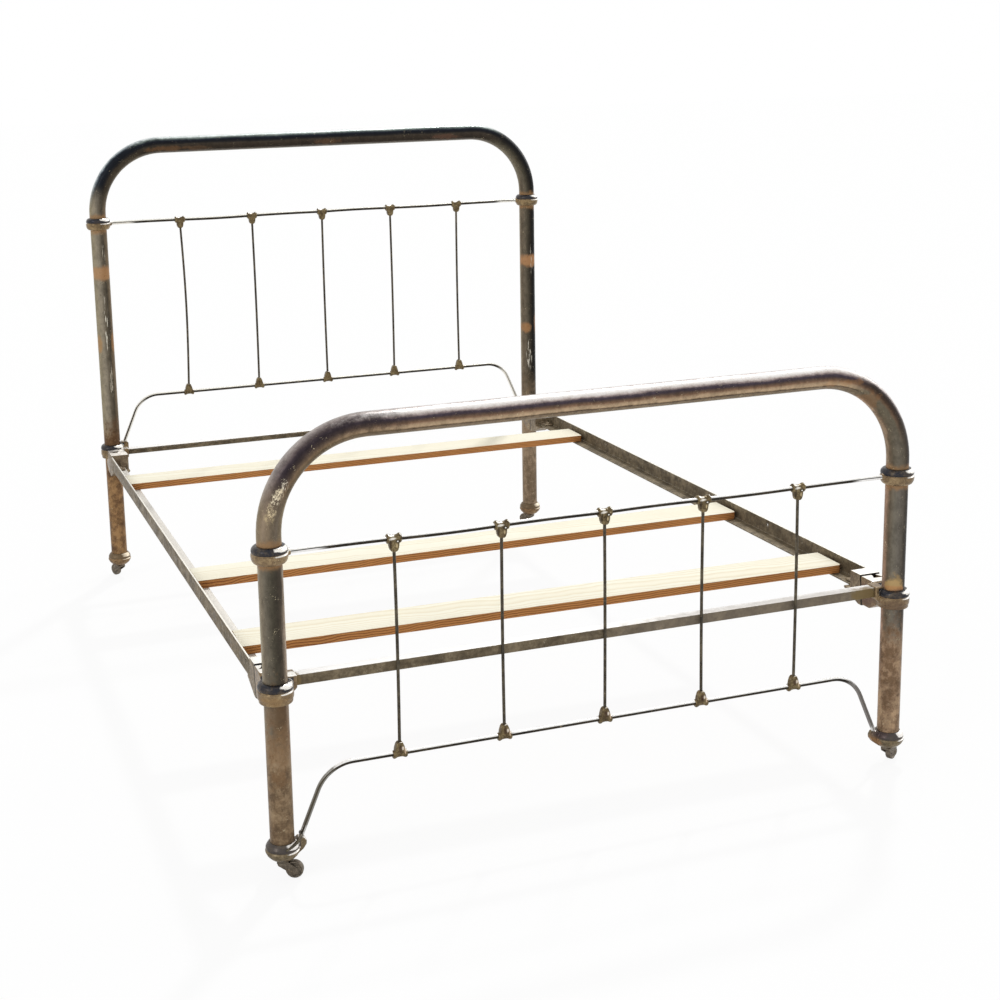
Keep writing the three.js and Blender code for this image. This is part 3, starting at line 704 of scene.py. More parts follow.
class Effects:
    """Node groups that more than one finish uses."""

    def __init__(self) -> None:
        """Builds each group once."""
        self.mottle = self._mottle()
        self.flecks = self._flecks()
        self.wear = self._wear()
        self.patch = self._patch()
        self.pits = self._pits()

    def _group(self, name: str, output: str, **inputs: float | Point) -> tuple[
            Bench, list[bpy.types.NodeSocket], Callable[[Feed], bpy.types.NodeTree]]:
        """Starts a group with a place and named numbers or vectors as inputs.

        Args:
            name: Name of the group.
            output: Name of the one number that it gives.
            **inputs: Inputs after the place, with their usual values.

        Returns:
            Its bench, the sockets of the inputs, and a function that ends it with a result.
        """
        tree = bpy.data.node_groups.new(name, "ShaderNodeTree")
        for key, value in {"Where": (0.0, 0.0, 0.0), **inputs}.items():
            kind = "NodeSocketFloat" if isinstance(value, float) else "NodeSocketVector"
            socket = tree.interface.new_socket(key, in_out="INPUT", socket_type=kind)
            socket.default_value = value
        tree.interface.new_socket(output, in_out="OUTPUT", socket_type="NodeSocketFloat")
        bench = Bench(tree)
        source = bench.put("NodeGroupInput")

        def end(result: Feed) -> bpy.types.NodeTree:
            """Ends the group with its result."""
            bench.put("NodeGroupOutput", {0: result})
            return tree
        return bench, list(source.outputs)[:1 + len(inputs)], end

    def _mottle(self) -> bpy.types.NodeTree:
        """Builds an uneven tone at three sizes.

        Returns:
            The group, which gives 0 to 1.
        """
        bench, (where, scale), end = self._group("mottle", "Tone", Scale=20.0)
        broad = bench.noise(where, scale, 3.0, 0.6, 0.6)
        middle = bench.noise(where, bench.times(scale, 4.3), 4.0, 0.65)
        fine = bench.noise(where, bench.times(scale, 19.0), 3.0, 0.7)
        total = bench.times(middle, 0.35, bench.times(broad, 0.45))
        return end(bench.span(bench.times(fine, 0.2, total), 0.34, 0.66))

    def _flecks(self) -> bpy.types.NodeTree:
        """Builds small sharp-edged flecks; Cover is the share of the surface that has them.

        Returns:
            The group, which gives 1 in a fleck.
        """
        bench, (where, scale, cover), end = self._group("flecks", "Mask", Scale=200.0, Cover=0.1)
        small = bench.noise(where, scale, 5.0, 0.7, 0.8)
        fields = bench.noise(where, bench.times(scale, 0.13), 3.0, 0.6)
        total = bench.plus(small, bench.times(fields, 0.6, -0.3))
        edge = bench.minus(0.72, bench.times(cover, 0.4))
        return end(bench.span(total, edge, bench.plus(edge, 0.025)))

    def _wear(self) -> bpy.types.NodeTree:
        """Builds worn edges, ragged.

        Returns:
            The group, which gives 0 to 1.
        """
        bench, (where, width, amount), end = self._group(
            "edge wear", "Mask", Width=0.0015, Amount=1.0)
        soft = bench.put("ShaderNodeBevel", {"Radius": width}, samples=4)
        plain = bench.put("ShaderNodeNewGeometry")
        facing = bench.vector("DOT_PRODUCT", soft.outputs[0], plain.outputs["Normal"])
        ragged = bench.noise(where, 160.0, 4.0, 0.7)
        total = bench.times(bench.minus(1.0, facing), bench.span(ragged, 0.35, 0.65, 0.4, 3.4))
        return end(bench.times(bench.span(total, 0.03, 0.24), amount, clamp=True))

    def _patch(self) -> bpy.types.NodeTree:
        """Builds one ragged blot about a centre.

        Returns:
            The group, which gives 1 inside and 0 outside.
        """
        bench, (where, centre, reach, ragged), end = self._group(
            "patch", "Mask", Centre=(0.0, 0.0, 0.0), Reach=(0.05, 0.05, 0.05), Ragged=0.6)
        away = bench.vector("DIVIDE", bench.vector("SUBTRACT", where, centre), reach)
        swing = bench.swing(bench.noise(where, 45.0, 5.0, 0.65), bench.times(ragged, 3.0))
        return end(bench.span(bench.plus(bench.vector("LENGTH", away), swing), 1.15, 0.55))

    def _pits(self) -> bpy.types.NodeTree:
        """Builds the relief of a corroded, hand-cast skin.

        Returns:
            The group, which gives a height from 0 to 1.
        """
        bench, (where, scale), end = self._group("pits", "Height", Scale=300.0)
        grain = bench.noise(where, scale, 5.0, 0.65)
        lumps = bench.noise(where, bench.times(scale, 0.17), 3.0, 0.5)
        holes = bench.put("ShaderNodeTexVoronoi",
                          {"Vector": where, "Scale": bench.times(scale, 0.6)})
        deep = bench.span(holes.outputs["Distance"], 0.05, 0.3)
        total = bench.times(grain, 0.5, bench.times(lumps, 0.8))
        return end(bench.times(deep, 0.2, total))


@dataclass(frozen=True)
class Blot:
    """A patch of rust or bare metal: centre and reach in metres, with its colour."""

    centre: Point
    reach: Point
    colour: str
    strength: float = 1.0
    ragged: float = 0.5


def blots(y: float, depth: float, *rows: Row, base: float = 0.0) -> tuple[Blot, ...]:
    """Blots that share their place and reach along the bed.

    Args:
        y: Place along the bed, in metres.
        depth: Reach along the bed.
        *rows: X, Z, reach in X, reach in Z, colour, strength and raggedness of each blot.
        base: Height that Z is counted from.

    Returns:
        The blots in the order of their rows.
    """
    return tuple(Blot((x, y, base + z), (wide, depth, high), colour, strength, ragged)
                 for x, z, wide, high, colour, strength, ragged in rows)


@dataclass(frozen=True)
class PaintedHighlight:
    """Painted highlight: skin painted pale where light from above and from a lit side falls.

    Attributes:
        colour: Colour of the painted highlight.
        flat: How far a face has to point up for the first and for the full painted highlight.
        shine: How far it has to face the lit side for the same.
        way: Direction of the lit side.
        ragged: How uneven the border is.
        above: Height in metres below which no highlight is painted.
        inward_of: Place along the bed, in metres, outside which no flat gets the painted
            highlight.
        steep: How far the edge of a sloping rod has to turn from the viewer for the same painted
            highlight.
    """

    colour: str
    flat: tuple[float, float] = (0.8, 0.93)
    shine: tuple[float, float] = NEVER
    way: Point = (0.52, -0.58, 0.63)
    ragged: float = 0.16
    above: float = -1.0
    inward_of: float = 9.0
    steep: tuple[float, float] = NEVER


class Finish:
    """A finish with one material."""

    material: bpy.types.Material

    def _start(self, name: str) -> tuple[Bench, bpy.types.NodeSocket, bpy.types.NodeSocket]:
        """Starts the material.

        Args:
            name: Name of the material.

        Returns:
            The bench of its tree, the place on the object and the direction that it faces.
        """
        material = bpy.data.materials.new(name)
        material.use_nodes = True
        material.node_tree.nodes.clear()
        object.__setattr__(self, "material", material)
        bench = Bench(material.node_tree)
        coordinates = bench.put("ShaderNodeTexCoord")
        return bench, coordinates.outputs["Object"], coordinates.outputs["Normal"]

    def _spotted(self, bench: Bench, effects: Effects, where: Feed, spots: Sequence[Blot],
                 colour: Feed, mask: Feed = 1.0) -> Feed:
        """Lays blots over a colour.

        Args:
            bench: Bench of the material.
            effects: Shared node groups.
            where: Place on the object.
            spots: The blots, in their order.
            colour: Colour below them.
            mask: Thins all of them.

        Returns:
            The colour with its blots.
        """
        for blot in spots:
            spot = bench.use(effects.patch, Where=where, Centre=blot.centre, Reach=blot.reach,
                             Ragged=blot.ragged)
            spot = bench.times(bench.times(spot, blot.strength), mask)
            colour = bench.blend(spot, colour, blot.colour)
        return colour

    def _end(self, bench: Bench, colour: Feed, rough: Feed, metallic: float, gloss: float,
             height: Feed, depth: float) -> None:
        """Joins everything in the shader.

        Args:
            bench: Bench of the material.
            colour: Colour of the surface.
            rough: Its roughness.
            metallic: Share of metal.
            gloss: Strength of the reflection seen from the front.
            height: Relief from 0 to 1.
            depth: Depth of the relief in metres.
        """
        bump = bench.put("ShaderNodeBump", {"Strength": 1.0, "Distance": depth,
                                            "Height": height})
        shader = bench.put("ShaderNodeBsdfPrincipled", {
            "Base Color": colour, "Roughness": rough, "Metallic": metallic,
            "Specular IOR Level": gloss, "Normal": bump.outputs[0]})
        bench.put("ShaderNodeOutputMaterial", {0: shader.outputs[0]})


@dataclass(frozen=True)
class OldIron(Finish):
    """Lacquered iron, browned with age, with rust, flecks, worn edges and painted highlights on
    flats and on its lit side.

    Attributes:
        effects: Shared node groups.
        name: Name of the material.
        dark: Darkest tone of the mottling, followed by the middle and the light one.
        rusty: How much of the surface is rust.
        flecked: How much of it has small flecks.
        worn: Colour of the edges, followed by the strength of their wear.
        domes: Heights in metres at which the dark domes of the post rings begin; their dark paint
            is partly their lacquer and partly painted shade in their recessed tops.
        seamed: Whether the joint of casting and hook is grimy.
        spacing: Distance in metres at which the blots repeat along X, or 0.
        gloss: Strength of the reflection seen from the front.
        scale: Scale of the mottling.
        rough: Lowest and highest roughness.
        depth: Depth of the relief in metres.
        dome_reach: Distance from the post's axis at which a dome ends and is whole.
        rod_way: Direction toward the viewer across the sloping ends of the bottom rods, whose
            edges get a painted highlight.
        rod_from: Distance in metres from the middle of the bed at which those ends begin.
    """

    effects: Effects
    name: str
    dark: str
    middle: str
    light: str
    rust: str = "7a4a26"
    rusty: float = 0.3
    fleck: str = "c9b48c"
    flecked: float = 0.1
    worn: str = "b9a98c"
    wear: float = 0.6
    painted_highlight: PaintedHighlight | None = None
    domes: tuple[float, ...] = ()
    # Colour of the domes: their dark lacquer, on the post rings deepened as painted shade in their
    # recessed tops
    dome: str = "23252d"
    dome_height: float = 0.0165
    dome_reach: tuple[float, float] = (0.0362, 0.0352)
    seamed: bool = False
    grime: str = "1d1815"
    spacing: float = 0.0
    gloss: float = 0.4
    scale: float = 28.0
    rough: tuple[float, float] = (0.32, 0.58)
    metallic: float = 0.5
    depth: float = 0.00025
    blots: tuple[Blot, ...] = ()
    fleck_scale: float = 420.0
    pit_scale: float = 520.0
    wear_width: float = 0.0016
    border: Cloud = Cloud(190.0, 4.0, 0.65)
    rod_way: Point = (-0.29, -0.91, 0.3)
    rod_from: tuple[float, float] = (0.57, 0.6)

    def __post_init__(self) -> None:
        """Builds the material."""
        bench, where, normal = self._start(self.name)
        effects = self.effects
        tone = bench.use(effects.mottle, Where=where, Scale=self.scale)
        colour = bench.ramp(tone, ((0.0, self.dark), (0.5, self.middle), (1.0, self.light)))
        bloom = bench.noise(where, self.scale * 1.7, 5.0, 0.68, 0.7)
        edge = 0.74 - 0.34 * self.rusty
        rusted = bench.span(bloom, edge, edge + 0.09)
        colour = bench.blend(bench.times(rusted, 0.85), colour, self.rust)
        # Dark lacquer on the domes, on the post rings deepened as painted shade in their recessed
        # tops
        domed = self._domed(bench, where)
        dark_dome_and_shade = bench.times(domed, bench.span(tone, 1.0, 0.2, 0.78, 1.0))
        colour = bench.blend(dark_dome_and_shade, colour, self.dome)
        flecks = bench.use(effects.flecks, Where=where, Scale=self.fleck_scale,
                           Cover=self.flecked)
        colour = bench.blend(bench.times(flecks, bench.times(domed, -0.6, 0.8)), colour,
                             self.fleck)
        worn = bench.use(effects.wear, Where=where, Width=self.wear_width, Amount=self.wear)
        colour = bench.blend(worn, colour, self.worn)
        # Painted highlight: pale paint on flats that face up and on the side that faces the light
        if self.painted_highlight:
            highlight_mask = self._paled(bench, where, normal, domed)
            colour = bench.blend(highlight_mask, colour, self.painted_highlight.colour)
        spot = self._repeated(bench, where)
        colour = self._spotted(bench, effects, spot, self.blots, colour)
        if self.seamed:
            colour = bench.blend(self._seam(bench, where), colour, self.grime)
        rough = bench.span(bench.noise(where, self.scale * 3.1, 4.0, 0.6), 0.3, 0.7, *self.rough)
        rough = bench.times(rusted, 0.18, rough, clamp=True)
        pits = bench.use(effects.pits, Where=where, Scale=self.pit_scale)
        self._end(bench, colour, rough, self.metallic, self.gloss, pits, self.depth)

    def _repeated(self, bench: Bench, where: Feed) -> Feed:
        """Counts the place anew from the middle of each knuckle.

        Args:
            bench: Bench of the material.
            where: Place on the object.

        Returns:
            The place to look blots up at, always on the foot side.
        """
        if not self.spacing:
            return where
        x, y, z = bench.split(where)
        steps = bench.calc("ROUND", bench.calc("DIVIDE", x, self.spacing))
        return bench.merge(bench.times(steps, -self.spacing, x),
                           bench.times(bench.calc("ABSOLUTE", y), -1.0), z)

    def _domed(self, bench: Bench, where: Feed) -> Feed:
        """Finds the dark domes that rise above the grooves of the post rings, painted partly for
        their dark lacquer and partly as painted shade in their recessed tops.

        Args:
            bench: Bench of the material.
            where: Place on the object.

        Returns:
            Their mask, from 0 to 1.
        """
        if not self.domes:
            return 0.0
        flat = bench.vector("MULTIPLY", bench.vector("ABSOLUTE", where), (1.0, 1.0, 0.0))
        post = (HALF_SPACING * MM, HALF_LENGTH * MM, 0.0)
        away = bench.vector("LENGTH", bench.vector("SUBTRACT", flat, post))
        height = bench.split(where)[2]
        total: Feed = 0.0
        for low in self.domes:
            high = low + self.dome_height
            band = bench.times(bench.span(height, low, low + MM),
                               bench.span(height, high + MM, high))
            total = bench.calc("MAXIMUM", total, band)
        return bench.times(total, bench.span(away, *self.dome_reach))

    def _paled(self, bench: Bench, where: Feed, normal: Feed, domed: Feed) -> Feed:
        """Finds where a highlight is painted: on flats that face up, on the side that faces the
        light and along the edges of the sloping rod ends.

        Args:
            bench: Bench of the material.
            where: Place on the object.
            normal: Direction that it faces.
            domed: Mask of the domes, whose flats stay dark.

        Returns:
            The mask of the painted highlight, from 0 to 1.
        """
        pale = self.painted_highlight
        swing = bench.swing(bench.cloud(where, self.border), pale.ragged)
        rise = bench.plus(bench.split(normal)[2], swing)
        x, y, z = bench.split(where)
        flat = bench.times(bench.span(rise, *pale.flat), bench.minus(1.0, domed))
        inward = bench.span(bench.calc("ABSOLUTE", y), pale.inward_of + 2 * MM, pale.inward_of)
        toward = bench.plus(bench.vector("DOT_PRODUCT", normal, pale.way), swing)
        total = bench.calc("MAXIMUM", bench.times(flat, inward), bench.span(toward, *pale.shine))
        # Painted highlight along both edges of the sloping rod ends, where they turn away from the
        # viewer
        ahead = bench.vector("DOT_PRODUCT", normal, self.rod_way)
        edges = bench.times(bench.span(ahead, *pale.steep),
                            bench.span(bench.calc("ABSOLUTE", x), *self.rod_from))
        total = bench.calc("MAXIMUM", total, edges)
        return bench.times(total, bench.span(z, pale.above, pale.above + MM))

    def _seam(self, bench: Bench, where: Feed) -> Feed:
        """Finds the grimy joint between a corner casting and its rail hook.

        Args:
            bench: Bench of the material.
            where: Place on the object.

        Returns:
            Its mask, from 0 to 1.
        """
        _, y, z = bench.split(where)
        inward = bench.minus(HALF_LENGTH * MM, bench.calc("ABSOLUTE", y))
        slope = (JOINT_HIGH[1] - JOINT_LOW[1]) / (JOINT_HIGH[0] - JOINT_LOW[0])
        start = (JOINT_LOW[1] + 0.5 - slope * JOINT_LOW[0]) * MM
        away = bench.calc("ABSOLUTE", bench.minus(inward, bench.times(z, slope, start)))
        return bench.span(away, 0.0032, 0.0014)


@dataclass(frozen=True)
class BowFinish(Finish):
    """Finish of a bent tube: painted reflections and shade in bands along its top rail, painted
    light and shade across its bends and posts.

    Bands run from one edge of the tube at 0 to the other at 1, and pairs are left and right.

    Attributes:
        effects: Shared node groups.
        name: Name of the material.
        rail_z: Height in metres of the top rail's axis.
        rail: Bands of painted reflection and shade over the lacquer of the top rail, from below to
            above.
        rail_from: Places in X between which they take over from those of the left bend.
        bends: Bands of painted reflection and shade on the bends, from inside to outside.
        posts: Bands of painted light and shade across the posts, from left to right.
        low_posts: Dark, middle and light tone of the bare lower posts.
        low_from: Heights between which those take over.
        collar_z: Height of the collar, about which the lacquer is browned.
        necks: Bands of painted light and shade on the posts above the collars, where they differ.
        bend_from: How far the tube has to lean over for the bands of the bends to take over.
        gilded: Blots that show as heavy flecks.
        scratched: Blots that show as thin upright scratches.
        sideways: Direction to the right as the photograph shows it.
    """

    effects: Effects
    name: str
    rail_z: float
    rail: Bands
    rail_from: tuple[float, float]
    bends: tuple[Bands, Bands]
    posts: tuple[Bands, Bands]
    low_posts: tuple[tuple[str, str, str], tuple[str, str, str]]
    low_from: tuple[float, float]
    collar_z: float
    necks: tuple[Bands, Bands] | None = None
    bend_from: tuple[float, float] = (0.05, 0.45)
    browned: str = "9a7650"
    fleck: str = "d8c9a6"
    flecked: float = 0.1
    fleck_scale: float = 330.0
    blots: tuple[Blot, ...] = ()
    gilded: tuple[Blot, ...] = ()
    gilding_scale: float = 560.0
    gilding_turn: float = -28.0
    scratched: tuple[Blot, ...] = ()
    sideways: Point = (0.946, -0.324, 0.0)
    tone_scale: float = 14.0
    pit_scale: float = 240.0
    depth: float = 0.0003
    metallic: float = 0.3
    gloss: float = 0.12
    drawn: Cloud = Cloud(42.0, 4.0, 0.6, (0.16, 1.0, 1.0))
    grain: Cloud = Cloud(260.0, 4.0, 0.7, (0.45, 1.0, 1.0))
    streaks: Cloud = Cloud(90.0, 5.0, 0.65, (1.0, 1.0, 0.1))
    grime: Cloud = Cloud(75.0, 6.0, 0.72, (1.0, 1.0, 0.6))
    scratches: Cloud = Cloud(420.0, 3.0, 0.6, (1.0, 1.0, 0.07))
    gleam: Cloud = Cloud(60.0, 4.0, 0.6)

    def _outward(self, bench: Bench, where: Feed) -> Feed:
        """Finds the way that points out of the bow.

        Args:
            bench: Bench of the material.
            where: Place on the object.

        Returns:
            The direction away from the middle of the bow, one metre long.
        """
        x, _, z = bench.split(where)
        reach = (HALF_SPACING - BEND_RADIUS) * MM
        near_x = bench.calc("MINIMUM", bench.calc("MAXIMUM", x, -reach), reach)
        near_z = bench.calc("MINIMUM", z, self.rail_z - BEND_RADIUS * MM)
        return bench.vector("NORMALIZE", bench.merge(bench.minus(x, near_x), 0.0,
                                                     bench.minus(z, near_z)))

    def _base(self, bench: Bench, where: Feed, normal: Feed, tone: Feed) -> Feed:
        """Colours the rail, the bends and the posts with painted reflections, light and shade, and
        the lower posts with their own mottled tone, without blots and flecks.

        Args:
            bench: Bench of the material.
            where: Place on the object.
            normal: Direction that it faces.
            tone: Uneven tone from 0 to 1.

        Returns:
            The colour.
        """
        x, _, height = bench.split(where)
        right = bench.span(x, -0.02, 0.02)

        def place(way: Feed, sway: Feed) -> Feed:
            """Place across the tube from 0 to 1, along a way, with ragged borders."""
            facing = bench.vector("DOT_PRODUCT", normal, way)
            return bench.times(facing, 0.5, bench.plus(sway, 0.5), clamp=True)

        def banded(value: Feed, pair: Iterable[Bands]) -> Feed:
            """Colour from the left or right bands of a pair."""
            return bench.blend(right, *(bench.ramp(value, bands) for bands in pair))

        outward = self._outward(bench, where)
        rise = bench.split(outward)[2]
        sway = bench.swing(bench.cloud(where, self.drawn), 0.16)
        across = place(outward, bench.swing(bench.cloud(where, self.grain), 0.1, sway))
        streaks = bench.cloud(where, self.streaks)
        # Painted light and shade across the posts, by how far a face turns to the right as the
        # camera sees it
        around = place(self.sideways, bench.swing(streaks, 0.22))
        posts = banded(around, self.posts)
        if self.necks:
            raised = bench.span(height, self.collar_z, self.collar_z + 0.01)
            posts = bench.blend(raised, posts, banded(around, self.necks))
        wall = bench.span(bench.times(streaks, 0.4, bench.times(tone, 0.6)), 0.25, 0.75)
        low = banded(wall, (tuple(zip((0.0, 0.5, 1.0), one)) for one in self.low_posts))
        down = bench.swing(tone, 0.1, height)
        posts = bench.blend(bench.span(down, *self.low_from), posts, low)
        along = bench.swing(tone, 0.12, x)
        # Painted reflection and shade on the rail and the bends, by how far a face turns out of
        # the bow
        share = bench.times(bench.span(rise, 0.82, 0.99), bench.span(along, *self.rail_from))
        arch = bench.blend(share, banded(across, self.bends), bench.ramp(across, self.rail))
        return bench.blend(bench.span(rise, *self.bend_from), posts, arch)

    def __post_init__(self) -> None:
        """Builds the material."""
        bench, where, normal = self._start(self.name)
        effects = self.effects
        tone = bench.use(effects.mottle, Where=where, Scale=self.tone_scale)
        colour = self._base(bench, where, normal, tone)
        grey = bench.ramp(tone, ((0.0, "949494"), (1.0, "dadada")))
        colour = bench.blend(0.24, colour, grey, "OVERLAY")
        grime = bench.ramp(bench.span(bench.cloud(where, self.grime), 0.34, 0.64),
                           ((0.0, "7c7c7c"), (0.6, "c4c4c4"), (1.0, "dedede")))
        colour = bench.blend(0.33, colour, grime, "OVERLAY")
        height = bench.split(where)[2]
        near = bench.calc("ABSOLUTE", bench.minus(height, self.collar_z))
        near = bench.swing(tone, 0.012, near)
        colour = bench.blend(bench.span(near, 0.034, 0.02, 0.0, 0.75), colour, self.browned)
        colour = self._spotted(bench, effects, where, self.blots, colour)
        flecks = bench.use(effects.flecks, Where=where, Scale=self.fleck_scale,
                           Cover=self.flecked)
        colour = bench.blend(bench.times(flecks, 0.7), colour, self.fleck)
        if self.gilded:
            turned = bench.put("ShaderNodeVectorRotate",
                               {"Vector": where, "Angle": math.radians(self.gilding_turn)},
                               rotation_type="Y_AXIS")
            brushed = bench.vector("MULTIPLY", turned.outputs[0], (1.0, 1.0, 0.45))
            heavy = bench.use(effects.flecks, Where=brushed, Scale=self.gilding_scale,
                              Cover=0.48)
            colour = self._spotted(bench, effects, where, self.gilded, colour, heavy)
        if self.scratched:
            thin = bench.span(bench.cloud(where, self.scratches), 0.57, 0.6)
            colour = self._spotted(bench, effects, where, self.scratched, colour, thin)
        rough = bench.span(bench.cloud(where, self.gleam), 0.3, 0.7, 0.26, 0.46)
        pits = bench.use(effects.pits, Where=where, Scale=self.pit_scale)
        self._end(bench, colour, rough, self.metallic, self.gloss, pits, self.depth)


@dataclass(frozen=True)
class PineFinish(Finish):
    """Pine board: pale top, partly its own colour and partly painted light from above,
    orange-brown edges with dark growth lines.

    Attributes:
        name: Name of the material.
        heart: Place in metres about which the growth rings run.
        top: Dark and light tone of the faces that look up, painted paler as light from above.
        edge: Dark and light tone of the other faces.
        rings: Growth rings in a metre.
    """

    name: str
    heart: Point
    top: tuple[str, str] = ("efe5cb", "fbf7e4")
    edge: tuple[str, str] = ("7a4720", "be834a")
    rings: float = 230.0
    waver: Cloud = Cloud(5.0, 3.0, 0.5, (1.3, 1.0, 1.0))
    fibre: Cloud = Cloud(900.0, 3.0, 0.6, (0.03, 1.0, 1.0))
    stain: Cloud = Cloud(16.0, 4.0, 0.6, (0.3, 1.0, 1.0))

    def __post_init__(self) -> None:
        """Builds the material."""
        bench, where, normal = self._start(self.name)
        place = bench.vector("SUBTRACT", where, self.heart)
        x, y, z = bench.split(place)
        lean = bench.times(x, 0.07, bench.times(bench.cloud(place, self.waver), 0.05))
        away = bench.vector("LENGTH", bench.merge(0.0, bench.plus(y, lean), z))
        turns = bench.calc("FRACT", bench.times(away, self.rings))
        line = bench.times(bench.span(turns, 0.45, 0.92), bench.span(turns, 1.0, 0.93))
        fibre = bench.cloud(place, self.fibre)
        light = bench.swing(fibre, 0.9, bench.minus(1.0, line))
        stain = bench.minus(bench.cloud(place, self.stain), 0.5)
        light = bench.plus(light, stain, clamp=True)
        # Faces that look up take the paler top tones, partly painted light from above
        above = bench.span(bench.split(normal)[2], 0.35, 0.9)
        colour = bench.blend(above, bench.blend(light, *self.edge),
                             bench.blend(light, *self.top))
        self._end(bench, colour, 0.75, 0.0, 0.25, bench.times(fibre, 0.7, line), 0.00025)


# The bed


@dataclass
class Finishes:
    """Every finish of the bed."""

    effects: Effects = field(default_factory=Effects)

    def __post_init__(self) -> None:
        """Makes the finishes that several pieces share."""
        effects = self.effects
        self.bow = {"foot": self._foot_bow(), "head": self._head_bow()}
        # Painted highlights on the tops of the level rods and along the edges of their sloping
        # ends
        self.level_rod = {
            "foot": self._rod("foot_rod_iron", PaintedHighlight(
                "fcfbf8", flat=(0.34, 0.5), ragged=0.14, steep=(0.955, 0.87))),
            "head": self._rod("head_rod_iron", PaintedHighlight(
                "efece2", flat=(0.3, 0.5), ragged=0.26, steep=(0.94, 0.85)))}
        self.spindle = OldIron(effects, "spindle_iron", "2c2820", "463f33", "655c4a", rusty=0.2,
                               flecked=0.05, wear=0.0, scale=30.0, rough=(0.3, 0.5))
        self.knuckle = self._knuckle()
        self.casting = self._castings()
        self.cap = self._caps()
        # Painted highlight on the hooks' flats that face up, above the rail
        self.hook = OldIron(effects, "hook_casting", "5a4e3e", "7b6c57", "9d8d73",
                            rusty=0.25, flecked=0.08, worn="d7ccb2", wear=0.5, scale=46.0,
                            rough=(0.35, 0.6), seamed=True,
                            painted_highlight=PaintedHighlight("f8f4ec", above=0.395))
        # Painted highlight on the top edge of the side rails' upright legs, and all along the left
        # rail's level leg
        self.angle = self._angle_iron("rail_angle_iron", PaintedHighlight("f0ece2", above=0.4045), (
            Blot((-0.677, 0.0, 0.3725), (0.026, 30.0, 0.012), "e4e0d8", 0.9, 0.12),))
        # Painted highlight on the cross rails' flats that face up
        self.tie = self._angle_iron("tie_angle_iron", PaintedHighlight("faf8f5"), (
            *blots(-0.998, 0.03, (0.4, 0.392, 0.45, 0.04, "80766a", 0.5, 0.3)),
            *blots(-0.998, 0.02, (0.62, 0.394, 0.035, 0.02, "7d6a45", 0.9, 0.5),
                   (-0.645, 0.394, 0.012, 0.02, "85714c", 0.9, 0.4))))
        self.caster = OldIron(effects, "caster_iron", "4a4238", "665c4f", "84796a",
                              rusty=0.25, flecked=0.1, worn="b5a78d", wear=0.5, scale=80.0)
        self.wheel = OldIron(effects, "caster_wheel_iron", "4d463c", "6f665a", "918676",
                             rusty=0.2, flecked=0.12, worn="b9ae9b", wear=0.6, scale=80.0)

    def _foot_bow(self) -> BowFinish:
        """Finish of the foot bow."""
        return BowFinish(
            self.effects, "foot_bow", RAIL_Z["foot"] * MM,
            rail=((0.0, "6b5d4b"), (0.1, "7a6a54"), (0.2, "7d6c58"), (0.225, "3a3027"),
                  (0.255, "8a745a"), (0.3, "b69e80"), (0.39, "a88f74"), (0.47, "7c614c"),
                  (0.55, "5b493e"), (0.63, "40363d"), (0.7, "494048"), (0.75, "8f807e"),
                  (0.81, "cfc5bf"), (0.88, "efebe7"), (0.965, "f8f6f4"), (0.99, "cfc7c3"),
                  (1.0, "c3bab6")),
            rail_from=(-0.56, -0.38),
            bends=(((0.0, "85775f"), (0.08, "6c5d46"), (0.2, "64553f"), (0.32, "7a654e"),
                    (0.42, "5f4f42"), (0.54, "3f3431"), (0.68, "2f272c"), (0.78, "3a3136"),
                    (0.86, "564b4b"), (0.95, "857b78"), (1.0, "a59c97")),
                   ((0.0, "a68d74"), (0.04, "725f4d"), (0.1, "5f5646"), (0.36, "625b4c"),
                    (0.46, "665240"), (0.54, "48372b"), (0.68, "30261f"), (0.79, "3f3430"),
                    (0.87, "a89c98"), (0.95, "e3ddda"), (1.0, "c9bfbb"))),
            bend_from=(0.15, 0.62),
            necks=(((0.0, "97896b"), (0.1, "86765d"), (0.3, "8f7e6a"), (0.5, "84745f"),
                    (0.7, "6f6353"), (0.85, "6a5f51"), (0.94, "74664f"), (1.0, "96876c")),
                   ((0.0, "94806b"), (0.07, "665747"), (0.2, "5e5648"), (0.4, "676054"),
                    (0.6, "5e574b"), (0.75, "4a4238"), (0.88, "332b24"), (1.0, "2a221c"))),
            posts=(((0.0, "928871"), (0.12, "7b705f"), (0.3, "6b6457"), (0.45, "5a5448"),
                    (0.6, "484338"), (0.78, "403a31"), (0.9, "4a4137"), (1.0, "a08f7c")),
                   ((0.0, "9a7c67"), (0.1, "625748"), (0.3, "706a5e"), (0.5, "69635a"),
                    (0.7, "544e45"), (0.85, "2f2820"), (1.0, "1d1813"))),
            low_posts=(("6c5843", "806b52", "917c62"), ("755d46", "8f765e", "a58b6e")),
            low_from=(0.35, 0.27), collar_z=TOP_ROD_Z["foot"] * MM,
            blots=(*blots(-1.028, 0.02, (0.668, 0.422, 0.027, 0.019, "a98c5c", 0.62, 1.0),
                          (0.668, 0.418, 0.016, 0.012, "c0a06c", 0.6, 1.3),
                          (0.67, 0.407, 0.024, 0.006, "b58052", 0.6, 0.9)),
                   *blots(-1.02, 0.03, (0.53, 0.872, 0.05, 0.008, "a4774a", 0.35, 1.0),
                          (0.6, 0.83, 0.025, 0.02, "966a42", 0.35, 1.0)),
                   *blots(-1.02, 0.04, (-0.686, 0.3, 0.03, 0.1, "856443", 0.4, 0.9))),
            gilded=blots(-1.026, 0.03, (-0.69, 0.726, 0.009, 0.014, "cdb98f", 0.6, 0.8),
                         (-0.685, 0.741, 0.009, 0.014, "e2cfa9", 0.8, 0.7),
                         (-0.676, 0.757, 0.009, 0.013, "f0e2c4", 1.0, 0.6),
                         (-0.667, 0.772, 0.008, 0.012, "ecdcbc", 1.0, 0.6),
                         (-0.657, 0.787, 0.007, 0.011, "f4e9d2", 1.0, 0.6)))

